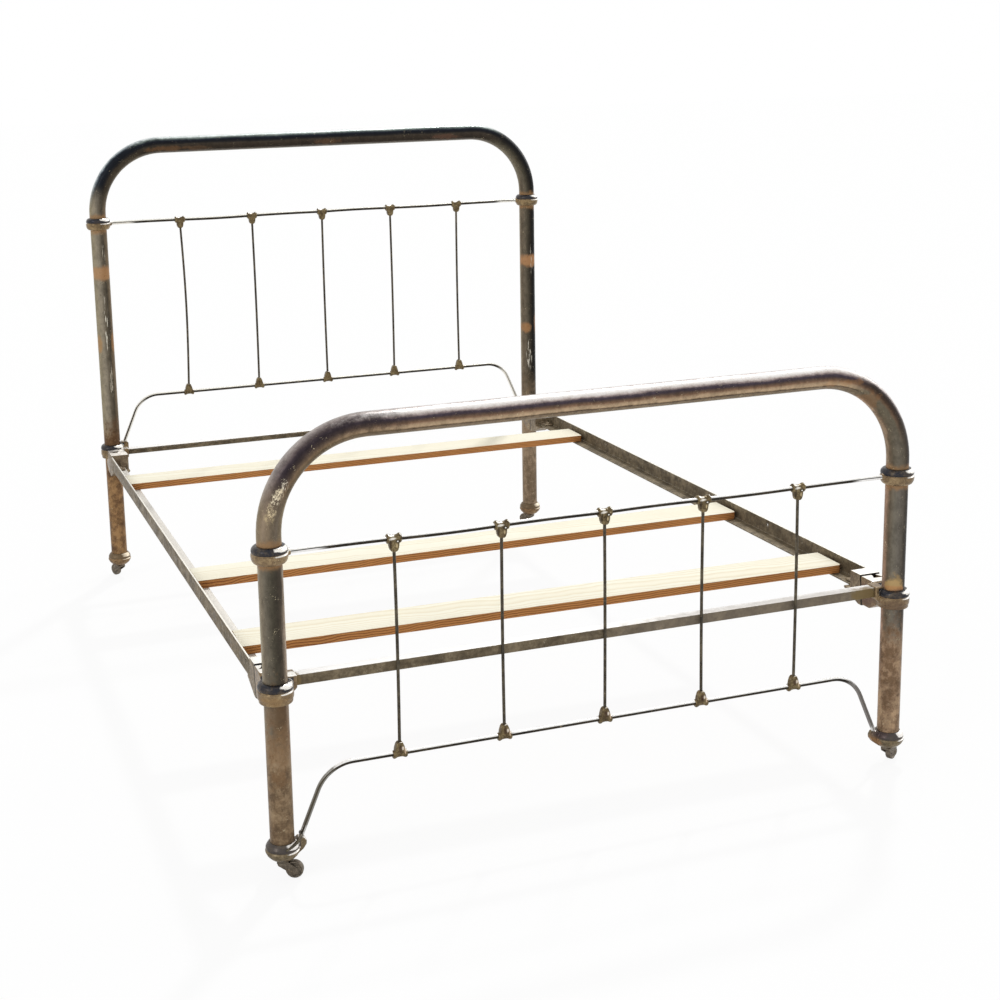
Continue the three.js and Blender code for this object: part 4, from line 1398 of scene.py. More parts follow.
    def _head_bow(self) -> BowFinish:
        """Finish of the head bow."""
        return BowFinish(
            self.effects, "head_bow", RAIL_Z["head"] * MM,
            rail=((0.0, "7a7264"), (0.08, "5b554d"), (0.17, "2b241c"), (0.36, "372f27"),
                  (0.49, "3d352c"), (0.56, "242221"), (0.64, "15151a"), (0.74, "171b25"),
                  (0.81, "434a4c"), (0.88, "88938d"), (0.93, "cdd4d2"), (1.0, "dfe3e2")),
            rail_from=(-0.62, -0.5),
            bends=(((0.0, "857c6c"), (0.07, "5f5648"), (0.18, "463e31"), (0.38, "3d362b"),
                    (0.48, "24211f"), (0.6, "13161b"), (0.86, "12171f"), (0.93, "4b545c"),
                    (1.0, "b9c1c3")),
                   ((0.0, "77705f"), (0.1, "655e4f"), (0.3, "474236"), (0.5, "24211d"),
                    (0.66, "111113"), (0.88, "0e0f11"), (0.96, "3a3a38"), (1.0, "7f7c73"))),
            posts=(((0.0, "8d8363"), (0.14, "8c826b"), (0.36, "8f8573"), (0.54, "867d6d"),
                    (0.68, "655d4f"), (0.84, "484136"), (1.0, "75654f")),
                   ((0.0, "8f856e"), (0.1, "655949"), (0.3, "655c4e"), (0.5, "4b4539"),
                    (0.68, "2b261f"), (0.82, "0e0c0a"), (1.0, "0d0b08"))),
            low_posts=(("644a33", "7d6042", "977650"), ("75644f", "85725c", "94816a")),
            low_from=(0.52, 0.4), collar_z=TOP_ROD_Z["head"] * MM, flecked=0.06,
            blots=(*blots(0.982, 0.02, (-0.47, 1.3, 0.07, 0.009, "674c33", 0.7, 0.7),
                          (-0.38, 1.3, 0.04, 0.008, "5d4835", 0.5, 0.7),
                          (0.02, 1.302, 0.05, 0.009, "5f4733", 0.6, 0.7),
                          (0.4, 1.302, 0.05, 0.01, "64493a", 0.6, 0.7)),
                   *blots(0.98, 0.05, (-0.686, 0.943, 0.05, 0.024, "b0845a", 0.75, 0.35),
                          (0.686, 0.893, 0.05, 0.022, "b3845a", 0.8, 0.35)),
                   *blots(0.98, 0.04, (0.67, 0.675, 0.02, 0.02, "a67a50", 0.75, 0.35)),
                   *blots(0.99, 0.03, (-0.709, 0.73, 0.012, 0.03, "a98356", 0.7, 0.35),
                          (-0.664, 0.735, 0.01, 0.035, "a07448", 0.7, 0.35),
                          (0.708, 0.69, 0.01, 0.04, "8a6340", 0.8, 0.35))),
            scratched=blots(0.98, 0.02, (-0.684, 0.79, 0.007, 0.09, "e8e2d2", 1.0, 0.3),
                            (-0.68, 0.62, 0.005, 0.06, "d9d0bc", 0.9, 0.3),
                            (-0.679, 1.0, 0.004, 0.05, "d9d0bc", 0.7, 0.3),
                            (0.69, 0.9, 0.005, 0.05, "e8e2d2", 0.8, 0.3),
                            (0.68, 0.59, 0.01, 0.06, "e8e2d2", 1.0, 0.3)))

    def _rod(self, name: str, painted_highlight: PaintedHighlight) -> OldIron:
        """Finish of a level rod: near black below, with a painted highlight above and along the
        edges of its sloping ends.
        """
        return OldIron(self.effects, name, "1c1812", "2c261d", "453c2e", rusty=0.12,
                       flecked=0.04, wear=0.0, scale=26.0, rough=(0.3, 0.45), metallic=0.3,
                       gloss=0.15, painted_highlight=painted_highlight, blots=blots(
                           -1.004, 0.03, (-0.62, 0.15, 0.06, 0.09, "554f40", 0.8, 0.5),
                           (0.62, 0.15, 0.06, 0.09, "35281c", 0.8, 0.5)))

    def _knuckle(self) -> OldIron:
        """Makes the finish of the knuckles, with painted glints on their front and the painted
        shade of a notch in the upper ones.

        Returns:
            The finish.
        """
        glints_and_shade: list[Blot] = []
        for rod_z in TOP_ROD_Z.values():
            base = rod_z * MM
            # Painted highlight from the upper left of the tooth down to its middle
            glints_and_shade += blots(-1.014, 0.012, (-0.004, 0.001, 0.008, 0.0028, "f6f1e6", 0.9, 0.3),
                           base=base)
            # Painted shade of a notch that is not modelled, with a painted glint inside it
            glints_and_shade += blots(-1.013, 0.01, (0.006, -0.0045, 0.0062, 0.0042, "15100b", 0.9, 0.3),
                           (0.0062, -0.005, 0.0022, 0.0018, "f4efe4", 1.0, 0.2), base=base)
            # A painted tan highlight right of the middle, and a dark streak down the left side
            glints_and_shade += blots(-1.012, 0.01, (0.0042, -0.0135, 0.002, 0.0046, "c9b58c", 0.8, 0.4),
                           (-0.0085, -0.01, 0.0024, 0.011, "33281b", 0.7, 0.5), base=base)
        for rod_z in BOTTOM_ROD_Z.values():
            # Painted glints on the top and right flank of the lower uprights, with a dark brown
            # patch
            glints_and_shade += blots(-1.012, 0.01, (0.0045, 0.0115, 0.0028, 0.0042, "e9dccb", 0.9, 0.3),
                           (0.0095, 0.006, 0.0018, 0.0065, "d9bfa4", 0.8, 0.4),
                           (-0.0005, 0.011, 0.0045, 0.008, "3f2b20", 0.7, 0.5),
                           base=rod_z * MM)
        # Painted glint where the knuckles face the light
        glint = PaintedHighlight("f6f1e6", flat=NEVER, shine=(0.925, 0.965), way=(0.26, -0.5, 0.826),
                         ragged=0.1)
        return OldIron(self.effects, "knuckle_iron", "3d3121", "66573c", "8f7f5c", rusty=0.22,
                       flecked=0.08, worn="b9a67c", wear=0.35, scale=80.0, rough=(0.24, 0.42),
                       depth=0.0002, painted_highlight=glint, spacing=KNUCKLE_SPACING * MM, gloss=0.25,
                       blots=tuple(glints_and_shade))

    def _castings(self) -> dict[str, OldIron]:
        """Makes the finishes of the corner castings and collars.

        Returns:
            One finish for the foot and one for the head.
        """
        # Painted highlights on the flats that face up and on the side that faces the light
        sides = PaintedHighlight("f8f4ec", flat=(0.86, 0.95), shine=(0.84, 0.9))
        block = PaintedHighlight("f8f4ec", flat=(0.86, 0.95), shine=(0.84, 0.9), inward_of=0.968)
        return {
            "foot": OldIron(self.effects, "foot_casting", "62513c", "836d50", "a38d69",
                            rust="7d5836", rusty=0.25, flecked=0.1, worn="c6b78f", wear=0.4,
                            domes=(0.3875, 0.6562), scale=46.0, rough=(0.22, 0.42),
                            painted_highlight=block, seamed=True, blots=(
                                Blot((0.655, -0.93, 0.37), (0.03, 0.06, 0.03), "5f4438", 0.8),
                                Blot((0.665, -1.03, 0.37), (0.04, 0.03, 0.02), "5f4a3a", 0.65),
                                # A painted highlight on the top of the left lug
                                Blot((-0.652, -1.0, 0.4075), (0.012, 0.02, 0.002), "f8f4ec",
                                     1.0, 0.2),
                                Blot((-0.7, -1.03, 0.372), (0.03, 0.03, 0.01), "8d6f49", 0.6))),
            "head": OldIron(self.effects, "head_casting", "5a4b37", "7c6748", "a38c66",
                            rust="80552f", rusty=0.3, flecked=0.1, worn="cbbb95", wear=0.4,
                            domes=(0.4045, 1.0912), scale=46.0, rough=(0.22, 0.42),
                            painted_highlight=sides, seamed=True)}

    def _caps(self) -> dict[str, OldIron]:
        """Makes the finishes of the caps under the posts.

        Returns:
            One finish for the foot and one for the head.
        """
        return {
            # Painted highlights on the foot caps' tops and lit side; the head caps get only a
            # painted glint on their lit side
            "foot": OldIron(self.effects, "foot_cap", "5a4f40", "76684f", "8f8069",
                            rust="855a35", rusty=0.25, flecked=0.08, gloss=0.25, worn="b8aa8c",
                            wear=0.4, domes=(0.0615,), dome="4c4643", scale=50.0,
                            rough=(0.24, 0.42),
                            painted_highlight=PaintedHighlight("f8f4ee", flat=(0.9, 0.98), shine=(0.84, 0.91)),
                            blots=(Blot((0.645, -1.012, 0.052), (0.016, 0.02, 0.02), "96683f",
                                        0.5, 1.0),
                                   Blot((0.655, -1.02, 0.075), (0.02, 0.02, 0.012), "4a3d3c",
                                        0.8))),
            "head": OldIron(self.effects, "head_cap", "5a4630", "80664a", "a58b64",
                            rust="8a5a30", rusty=0.4, flecked=0.1, worn="c9b78f", wear=0.4,
                            domes=(0.0615,), dome="6b5a44", scale=50.0, rough=(0.3, 0.5),
                            gloss=0.25, painted_highlight=PaintedHighlight("dccfb8", flat=NEVER,
                                                          shine=(0.86, 0.97)))}

    def _angle_iron(self, name: str, painted_highlight: PaintedHighlight, spots: tuple[Blot, ...]) -> OldIron:
        """Finish of a rolled angle iron with painted highlights on its flats."""
        return OldIron(self.effects, name, "4b4132", "6b5f4b", "8a7c64", rust="6e4f33",
                       rusty=0.2, flecked=0.12, fleck="aba292", worn="d9d2c4", wear=0.6,
                       gloss=0.2, scale=24.0, rough=(0.42, 0.68), metallic=0.25,
                       painted_highlight=painted_highlight, blots=spots)


def in_corner(form: Form, corner: Corner) -> Form:
    """Mirrors a corner-local form for its corner and puts it on its post."""
    mirrored = form.copy().scaled(-corner.x, -corner.y, 1)
    return mirrored.moved(corner.x * HALF_SPACING, corner.y * HALF_LENGTH, 0)


@dataclass
class BedEnd:
    """One end of the bed: bow, rods, knuckles, spindles and cross rail.

    Attributes:
        finishes: Finishes of the bed.
        name: Foot or head.
        side: Side that it stands on in Y.
        sways: How far the middle of each spindle is bent to the right.
        post_bottom: Height of the lower end of the posts.
        wall: Thickness of the tube's wall.
        top_rod_stop: How far the top rod stops short of the axes of the posts.
        top_rod_waves: How far the middle of each of its bays lies above a straight line.
        rod_drop: How far the ends of the bottom rod lie below its middle.
        rod_bend: Radius of its bends.
        rod_seat: How far its ends reach into the castings.
        knuckle_length: Length of the spools on the rods.
        spindle_radius: Radius of the spindles.
        tie_stop: How far the cross rail stops short of them.
    """

    finishes: Finishes
    name: str
    side: int
    sways: tuple[float, ...]
    post_bottom: float = 56.0
    wall: float = 2.0
    top_rod_stop: float = 27.6
    top_rod_waves: tuple[float, ...] = (0.8, -1.4, 0.9, 1.2, -1.0, 0.7)
    rod_drop: float = 137.0
    rod_bend: float = 78.0
    rod_seat: float = 11.0
    knuckle_length: float = 30.0
    spindle_radius: float = 3.2
    tie_stop: float = 29.3

    @property
    def y(self) -> float:
        """Place of the end along the bed."""
        return self.side * HALF_LENGTH

    def build(self) -> None:
        """Builds every piece of the end."""
        self.bow()
        self.top_rod()
        self.bottom_rod()
        self.cross_rail()
        upper = self.upper_knuckle()
        lower = self.lower_knuckle()
        for number, sway in enumerate(self.sways, start=1):
            x = (number - 3) * KNUCKLE_SPACING
            upper.copy().moved(x, self.y, TOP_ROD_Z[self.name]).piece(
                f"{self.name}_saddle_{number}", self.finishes.knuckle, "knuckle",
                [f"{self.name}_knuckle_{number}"], sharp=60)
            lower.copy().moved(x, self.y, BOTTOM_ROD_Z[self.name]).piece(
                f"{self.name}_foot_saddle_{number}", self.finishes.knuckle, "knuckle", sharp=60)
            self.spindle(number, x, sway)

    def bow(self) -> None:
        """Bends the post and rail tube."""
        post = RAIL_Z[self.name] - BEND_RADIUS - self.post_bottom
        bar = RoundBar(TUBE_RADIUS, 64, (-HALF_SPACING, self.post_bottom), 90)
        bar.straight(post, 14).bend(BEND_RADIUS, -90, 24)
        bar.straight(2 * (HALF_SPACING - BEND_RADIUS), 16)
        bar.bend(BEND_RADIUS, -90, 24).straight(post, 14)
        bar.walled(self.wall).moved(0, self.y, 0).piece(
            f"{self.name}_bow", self.finishes.bow[self.name], "bow_tube",
            [f"{self.name}_arch_tube"], sharp=50)

    def top_rod(self) -> None:
        """Draws the level top rod, a little wavy between its knuckles."""
        half = HALF_SPACING - self.top_rod_stop
        outer = half - 2 * KNUCKLE_SPACING
        bays = (outer, *[KNUCKLE_SPACING] * 4, outer)
        bar = RoundBar(ROD_RADIUS, 24, (-half, TOP_ROD_Z[self.name]), 0)
        for bay, wave in zip(bays, self.top_rod_waves):
            bar.straight(bay, 8, wave)
        bar.solid().moved(0, self.y, 0).piece(
            f"{self.name}_upper_bar", self.finishes.level_rod[self.name], "filler_rod",
            [f"{self.name}_top_rod"])

    def bottom_rod(self) -> None:
        """Bends the bottom rod down at both ends."""
        lean = math.atan(ROD_SLOPE)
        corner_x = HALF_SPACING - EAR_REACH - self.rod_drop / ROD_SLOPE
        setback = self.rod_bend * math.tan(lean / 2)
        slope = self.rod_drop / math.sin(lean) - setback + self.rod_seat
        end_x = corner_x - setback + self.rod_bend * math.sin(lean) + slope * math.cos(lean)
        end_z = -self.rod_bend * (1 - math.cos(lean)) - slope * math.sin(lean)
        degrees = math.degrees(lean)
        start = (-end_x, BOTTOM_ROD_Z[self.name] + end_z)
        bar = RoundBar(ROD_RADIUS, 24, start, degrees)
        bar.straight(slope, 4).bend(self.rod_bend, -degrees, 14)
        bar.straight(2 * (corner_x - setback), 16).bend(self.rod_bend, -degrees, 14)
        bar.straight(slope, 4).solid().moved(0, self.y, 0).piece(
            f"{self.name}_lower_bar", self.finishes.level_rod[self.name], "filler_rod",
            [f"{self.name}_bottom_rod"])

    def saddle(self) -> Form:
        """Turns the flared spool of a knuckle.

        Returns:
            The spool along X, about the origin.
        """
        half = self.knuckle_length / 2
        flare = [(7.8, half), (9.9, half - 2.4), (9.6, half - 5), (7.4, half - 9)]
        profile = [(0, -half), *[(radius, -x) for radius, x in flare], (6.8, 0),
                   *reversed(flare), (0, half)]
        return Form.turned(profile, 40, 0.6).turned_about(90, "Y")

    def upper_knuckle(self) -> Form:
        """Saddle with a shield-shaped tooth that holds the head of a spindle."""
        tooth = Form.plate([(-12, 1), (-10.4, -9), (-9.4, -18), (-7.6, -23), (-4.6, -26),
                            (4.6, -26), (7.6, -23), (9.4, -18), (10.4, -9), (12, 1)],
                           -6.8, 6.8, Across.Y)
        return self.saddle().with_parts(tooth.softened(2.4, 3)).fused(0.6, 3)

    def lower_knuckle(self) -> Form:
        """Makes the flared base and the faceted upright that is cast over the rod.

        Returns:
            The knuckle about the origin, with one sloping shoulder.
        """
        tooth = Form.plate([(-12, -2), (12, -2), (10.6, 7), (8.8, 15), (5.4, 23), (4.2, 24),
                            (-4.2, 24), (-7.4, 20), (-10, 12)], -6.8, 6.8, Across.Y)
        base = self.saddle().scaled(1, 0.86, 0.86).moved(0, 0, -1.8)
        return base.with_parts(tooth.softened(1.8, 2)).fused(0.6, 2)

    def spindle(self, number: int, x: float, sway: float) -> None:
        """Stands a spindle between its knuckles.

        Args:
            number: Its number from the left.
            x: Its place in X.
            sway: How far its middle is bent to the right.
        """
        low = BOTTOM_ROD_Z[self.name] + 6
        high = TOP_ROD_Z[self.name] - ROD_RADIUS - 0.6
        bar = RoundBar(self.spindle_radius, 20, (x, low), 90)
        bar.straight(high - low, 14, -sway).solid().moved(0, self.y, 0).piece(
            f"{self.name}_rung_{number}", self.finishes.spindle, "filler_rod",
            [f"{self.name}_spindle_{number}"])

    def cross_rail(self) -> None:
        """Lays the small angle iron between the corner castings."""
        half = HALF_SPACING - self.tie_stop
        top, back, wall = TIE_TOP, TIE_BACK, TIE_WALL
        low, front = top - TIE_HEIGHT, back + TIE_DEPTH
        outline = [(back, low), (back + wall, low), (back + wall, top - 6),
                   (back + 6, top - wall), (front, top - wall), (front, top), (back, top)]
        rail = Form.plate(outline, -half, half, Across.X).softened(0.9, 2)
        rail.scaled(1, -self.side, 1).moved(0, self.y, 0).piece(
            f"{self.name}_tie", self.finishes.tie, "angle_iron",
            [f"{self.name}_cross_rail"])


@dataclass
class Fittings:
    """The castings on one post, its rail hook, foot and caster, in corner-local millimetres.

    In the frame of a corner the post stands at the origin, +X runs to the middle of the bed
    and +Y along the side rail.

    Attributes:
        finishes: Finishes of the bed.
        heading: Direction in degrees that each caster trails in.
        ring_radius: Largest radius of the rings of the corner castings.
        hook_back: Place of the hook's back along the side rail.
        tail_steps: Rings along the flattened end of the foot's bottom rod.
        tail_sides: Facets around it.
        tail_turn: Angles in degrees about the post at which it starts and ends.
        tail_reach: Its distance from the axis of the post at its start and at its end.
        tail_size: Its radius at its start and at its end.
        tail_z: Its height beside the post and in front of it.
    """

    finishes: Finishes
    heading: dict[Corner, float]
    ring_radius: float = 34.9
    hook_back: float = 118.7
    tail_steps: int = 24
    tail_sides: int = 16
    tail_turn: tuple[float, float] = (-4.0, 92.0)
    tail_reach: tuple[float, float] = (37.4, 32.5)
    tail_size: tuple[float, float] = (3.9, 2.2)
    tail_z: tuple[float, float] = (85.5, 69.5)

    def build(self) -> None:
        """Builds the fittings of all four posts."""
        collar, hook, fork, wheel = self.collar(), self.hook(), self.fork(), self.wheel()
        castings = {end: self.corner_casting(end) for end in RAIL_Z}
        feet = {end: self.post_foot(end) for end in RAIL_Z}
        for corner in Corner:
            end, side, label = corner.end, corner.side, corner.label
            casting, cap = self.finishes.casting[end], self.finishes.cap[end]
            raised = collar.copy().moved(0, 0, TOP_ROD_Z[end])
            for form, name, finish, slot, node, sharp in (
                (raised, f"{end}_ring_{side}", casting, "casting", f"{end}_collar_{side}", 60),
                (castings[end], f"post_casting_{label}", casting, "casting",
                 f"corner_casting_{label}", 50),
                (hook, f"hook_{label}", self.finishes.hook, "hook_casting",
                 f"rail_hook_{label}", 50),
                (feet[end], f"foot_cap_{label}", cap, "casting", f"post_foot_{label}", 60),
            ):
                in_corner(form, corner).piece(name, finish, slot, [node], sharp=sharp)
            self.caster(corner, fork, wheel)
        self.tail()

    def bore(self, low: float, high: float) -> Form:
        """Room for the post."""
        return Form.drum(TUBE_RADIUS + PLAY, low, high, 64)

    def collar(self) -> Form:
        """Makes the collar at the top rod: bell, groove, domed ring and a small ear.

        Returns:
            The collar, with the axis of the rod at height zero.
        """
        ring = Form.turned([(20, -17), (27.6, -17), (30.6, -15.6), (33, -12.6), (34.7, -8.6),
                            (35.6, -3), (35.4, 1.2), (33.6, 2.2), (33.2, 3.2), (33.9, 4.4),
                            (34.8, 5.6), (34.8, 8.6), (34, 11.6), (32, 14.4), (29.4, 16.6),
                            (26.6, 17.5), (20, 17.5)], 96, 0.4)
        ear = Form.drum(9.4, -7, 7, 28, top=6.6).turned_about(90, "Y").moved(32.6, 0, 0)
        rod = Form.drum(ROD_ROOM, 0, 40, 24).turned_about(90, "Y").moved(27.3, 0, 0)
        return ring.with_parts(ear).fused(0.7, 2).cut(self.bore(-22, 22), rod)

    def joint_y(self, z: float, offset: float = 0.0) -> float:
        """Place of the inclined joint face at a height."""
        rise = (z - JOINT_LOW[0]) / (JOINT_HIGH[0] - JOINT_LOW[0])
        return JOINT_LOW[1] + (JOINT_HIGH[1] - JOINT_LOW[1]) * rise + offset

    def dovetail(self, clearance: float, top: float) -> Form:
        """Makes the wedge-shaped tongue of a hook.

        Args:
            clearance: How far it is grown, for its socket.
            top: Height of its upper face.

        Returns:
            The tongue, wide at the top and narrow at the bottom.
        """
        neck, head, front = 5.5 + clearance, 11 + clearance, -16 - clearance
        low, high, narrow = 352, 408, 0.78
        form = Form.plate([(-neck, 12), (-neck, -1), (-head, front + 3), (-head, front),
                           (head, front), (head, front + 3), (neck, -1), (neck, 12)],
                          low - clearance, top, Across.Z)
        for vert in form.bm.verts:
            vert.co.x *= narrow + (1 - narrow) * (vert.co.z - low) / (high - low)
        return form.moved(-BOLT_OUTSET, JOINT_LOW[1], 0)

    def ring(self, low: float) -> Form:
        """Turns the ring of a corner casting: band, groove and domed shoulder.

        Args:
            low: Height of its lower edge.

        Returns:
            The ring.
        """
        inside, height = 20, 40.5
        skin = [(2.7, 0), (2.1, 1), (1.8, 6), (2.2, 7.2), (0.6, 8.6), (0, 12), (0, 22.4),
                (0.8, 23.2), (2, 24), (2, 25.4), (0.8, 26.4), (0.1, 28), (0.2, height - 9),
                (1.5, height - 5), (4.4, height - 1.6), (8.4, height)]
        profile = [(self.ring_radius - depth, low + rise) for depth, rise in skin]
        return Form.turned([(inside, low), *profile, (inside, low + height)], 96, 0.4)

    def corner_casting(self, end: str) -> Form:
        """Makes the ring, the dovetail socket for the side rail and the lug of the cross rail.

        Args:
            end: Foot or head, where a block for the bottom rod is added.

        Returns:
            The casting.
        """
        low, high = JOINT_LOW[0], JOINT_HIGH[0]
        socket = Form.plate([(16, low + 18), (46, low), (self.joint_y(low), low),
                             (self.joint_y(high), high), (38, high), (16, high - 12)],
                            -22, 28, Across.X).softened(2.0, 3)
        lug = Form.plate([(14, 376), (37, 376), (43, 382), (43, 407.5), (22, 407.5),
                          (14, 395.5)], 0, 34, Across.Y).softened(1.6, 3)
        parts = [socket, lug]
        tools = [self.bore(339, 442), self.dovetail(PLAY, high + 5),
                 Form.drum(2.4, high - 9, high + 4, 20).moved(-15, 58, 0)]
        back, inside = TIE_BACK - PLAY, TIE_BACK + TIE_WALL + PLAY
        front, bottom = TIE_BACK + TIE_DEPTH + PLAY, TIE_TOP - TIE_HEIGHT - PLAY
        under, top = TIE_TOP - TIE_WALL - PLAY, TIE_TOP + PLAY
        pocket = [(back, bottom), (inside, bottom), (inside, under), (front, under),
                  (front, top), (back, top)]
        tools.append(Form.plate(pocket, 29, 48, Across.X))
        ring_low = 362.0
        if end == "head":
            ring_low += 17
            block = Form.plate([(18, 392), (30, 400), (44.5, 400), (47.5, 404), (47.5, 422),
                                (43.5, 426), (31, 426), (26, 422), (18, 414)], -11, 11,
                               Across.Y)
            parts.append(block.softened(2.2, 3))
            tools.append(self.rod_end(end))
        return self.ring(ring_low).with_parts(*parts).fused(0.8, 3).cut(*tools)

    def rod_end(self, end: str) -> Form:
        """Makes room for the sloping end of a bottom rod.

        Args:
            end: Foot or head.

        Returns:
            The room, leaning along the rod.
        """
        lean = math.degrees(math.atan(ROD_SLOPE))
        room = Form.drum(ROD_ROOM, -11.6, 30, 24)
        return room.turned_about(90 - lean, "Y").moved(EAR_REACH, 0, ROD_END_Z[end])

    def hook(self) -> Form:
        """Makes the hook casting on a rail end: tongue, inclined face, gusset and bolted tab.

        Returns:
            The hook.
        """
        back, low, high = self.hook_back, 341, 410
        under, lip = SIDE_RAIL_Z - PLAY, self.hook_back + 24
        body = Form.plate([(self.joint_y(low, 1), low), (self.joint_y(low, 15), low),
                           (lip, 363), (lip, under), (back, under), (back, high),
                           (self.joint_y(high, 1), high)], -22, 28, Across.X).softened(1.6, 3)
        tab = Form.block((-15.8, back - 6, TAB_Z), (12, back + 42, TAB_Z + TAB_THICKNESS))
        body = body.with_parts(tab.softened(1.2, 2)).fused(0.9, 3)
        hole = Form.drum(4.5, 360, 390, 24).moved(-BOLT_OUTSET, HALF_LENGTH - BOLT_Y, 0)
        return body.cut(hole).with_parts(self.dovetail(0, 397).softened(0.6, 2))

    def post_foot(self, end: str) -> Form:
        """Turns the acorn under a post.

        Args:
            end: Foot, where an ear for the bottom rod is added, or head.

        Returns:
            The acorn.
        """
        low, stem = 37.0, 5.3
        cap = Form.turned([(stem, low), (13, low), (16.5, low + 1.4), (23.5, low + 5),
                           (30.4, low + 12), (33.8, low + 19), (34.2, low + 22.4),
                           (32.2, low + 23.6), (31.9, low + 25.6), (33.2, low + 26.8),
                           (32.6, low + 30.5), (29.4, low + 36), (25.6, low + 40),
                           (stem, low + 40)], 80, 0.6)
        tools = [self.bore(55.7, 97)]
        if end == "foot":
            entry = ROD_END_Z[end]
            ear = Form.plate([(18, low + 3), (27, low + 7.5), (40, low + 17),
                              (46.5, low + 26), (47.5, low + 34), (42.5, entry + 1.5),
                              (32, entry + 2.5), (25, entry - 3)], -8.5, 8.5,
                             Across.Y).softened(2.6, 3)
            cap = cap.with_parts(ear)
            tools.append(self.rod_end(end))
        return cap.fused(0.95, 4).cut(*tools)

    def tail(self) -> None:
        """Bends the flattened end of the foot's bottom rod round the front of the left cap."""
        bm = bmesh.new()
        (turn_from, turn_to), (reach, reach_end) = self.tail_turn, self.tail_reach
        (size, size_end), (z, z_end) = self.tail_size, self.tail_z
        up = Vector((0, 0, 1))
        rings = []
        for step in range(self.tail_steps + 1):
            share = step / self.tail_steps
            turn = math.radians(turn_from + (turn_to - turn_from) * share)
            out = Vector((math.cos(turn), -math.sin(turn), 0))
            centre = out * (reach + (reach_end - reach) * share)
            centre.z = z + (z_end - z) * (1 - math.cos(turn))
            radius = size + (size_end - size) * share ** 2
            rings.append([bm.verts.new(centre + radius * (math.cos(a) * out + math.sin(a) * up))
                          for a in (math.tau * side / self.tail_sides
                                    for side in range(self.tail_sides))])
        for near, far in zip(rings, rings[1:]):
            for side in range(self.tail_sides):
                after = (side + 1) % self.tail_sides
                bm.faces.new((near[side], near[after], far[after], far[side]))
        bm.faces.new(rings[0][::-1])
        bm.faces.new(rings[-1])
        bmesh.ops.recalc_face_normals(bm, faces=bm.faces)
        Form(bm).moved(-HALF_SPACING, -HALF_LENGTH, 0).piece(
            "foot_rod_tail_left", self.finishes.spindle, "filler_rod")

    def fork(self) -> Form:
        """Makes the caster fork with its stem, two teardrop cheeks and the riveted axle.

        Returns:
            The fork, trailing toward +X.
        """
        x, z, lobe = CASTER_TRAIL, AXLE_Z, 8.6
        angles = [math.radians(a) for a in range(-142, 39, 18)]
        outline = [(x + lobe * math.cos(a), z + lobe * math.sin(a)) for a in angles]
        outline += [(9, 35.7), (-11, 35.7), (-9, 27)]
        cheeks = [Form.plate(outline, low, low + 3, Across.Y).softened(0.9, 2)
                  for low in (7.8, -10.8)]
        bridge = Form.block((-11, -10.8, 30.7), (9, 10.8, 35.7)).softened(1.0, 2)
        shoulder = Form.turned([(0, 32.7), (11.6, 32.7), (12.5, 34.5), (11.8, 36.7),
                                (0, 36.7)], 40, 0.3)
        room = Form.drum(18.5, -7.8, 7.8, 48).turned_about(90, "X").moved(x, 0, z)
        shell = cheeks[0].with_parts(cheeks[1], bridge, shoulder).fused(0.55, 3).cut(room)
        stem = Form.drum(5, 35, 92, 32)
        axle = Form.drum(3, -11.8, 11.8, 24)
        heads = [Form.turned([(0, s * 10.3), (4.6, s * 10.3), (4.2, s * 11.6), (2.6, s * 12.4),
                              (0, s * 12.4)], 32, 0.3) for s in (1, -1)]
        rivet = axle.with_parts(*heads).turned_about(90, "X").moved(x, 0, z)
        return shell.with_parts(stem, rivet)

    def wheel(self) -> Form:
        """Turns the small iron wheel with a rounded tread, dished faces and a hub.

        Returns:
            The wheel at the place of the axle.
        """
        side = [(3.3, 7), (6.4, 7), (7.4, 4.6), (12.6, 4.4), (14.6, 6.4), (16.6, 6.2),
                (17.5, 4)]
        profile = side + [(radius, -y) for radius, y in reversed(side)]
        wheel = Form.turned(profile, 72, 0.4).turned_about(90, "X")
        return wheel.moved(CASTER_TRAIL, 0, AXLE_Z)

    def caster(self, corner: Corner, fork: Form, wheel: Form) -> None:
        """Puts a fork and its wheel under a post at its heading.

        Args:
            corner: The post.
            fork: Fork that trails toward +X.
            wheel: Wheel in its place on that fork.
        """
        for form, name, body, finish, slot in (
            (fork, "fork", "swivel", self.finishes.caster, "caster_iron"),
            (wheel, "wheel", "wheel", self.finishes.wheel, "caster_wheel"),
        ):
            placed = form.copy().turned_about(self.heading[corner], "Z")
            placed.moved(corner.x * HALF_SPACING, corner.y * HALF_LENGTH, 0).piece(
                f"{name}_{corner.label}", finish, slot, [f"caster_{name}_{corner.label}"],
                f"{body}_{corner.label}")


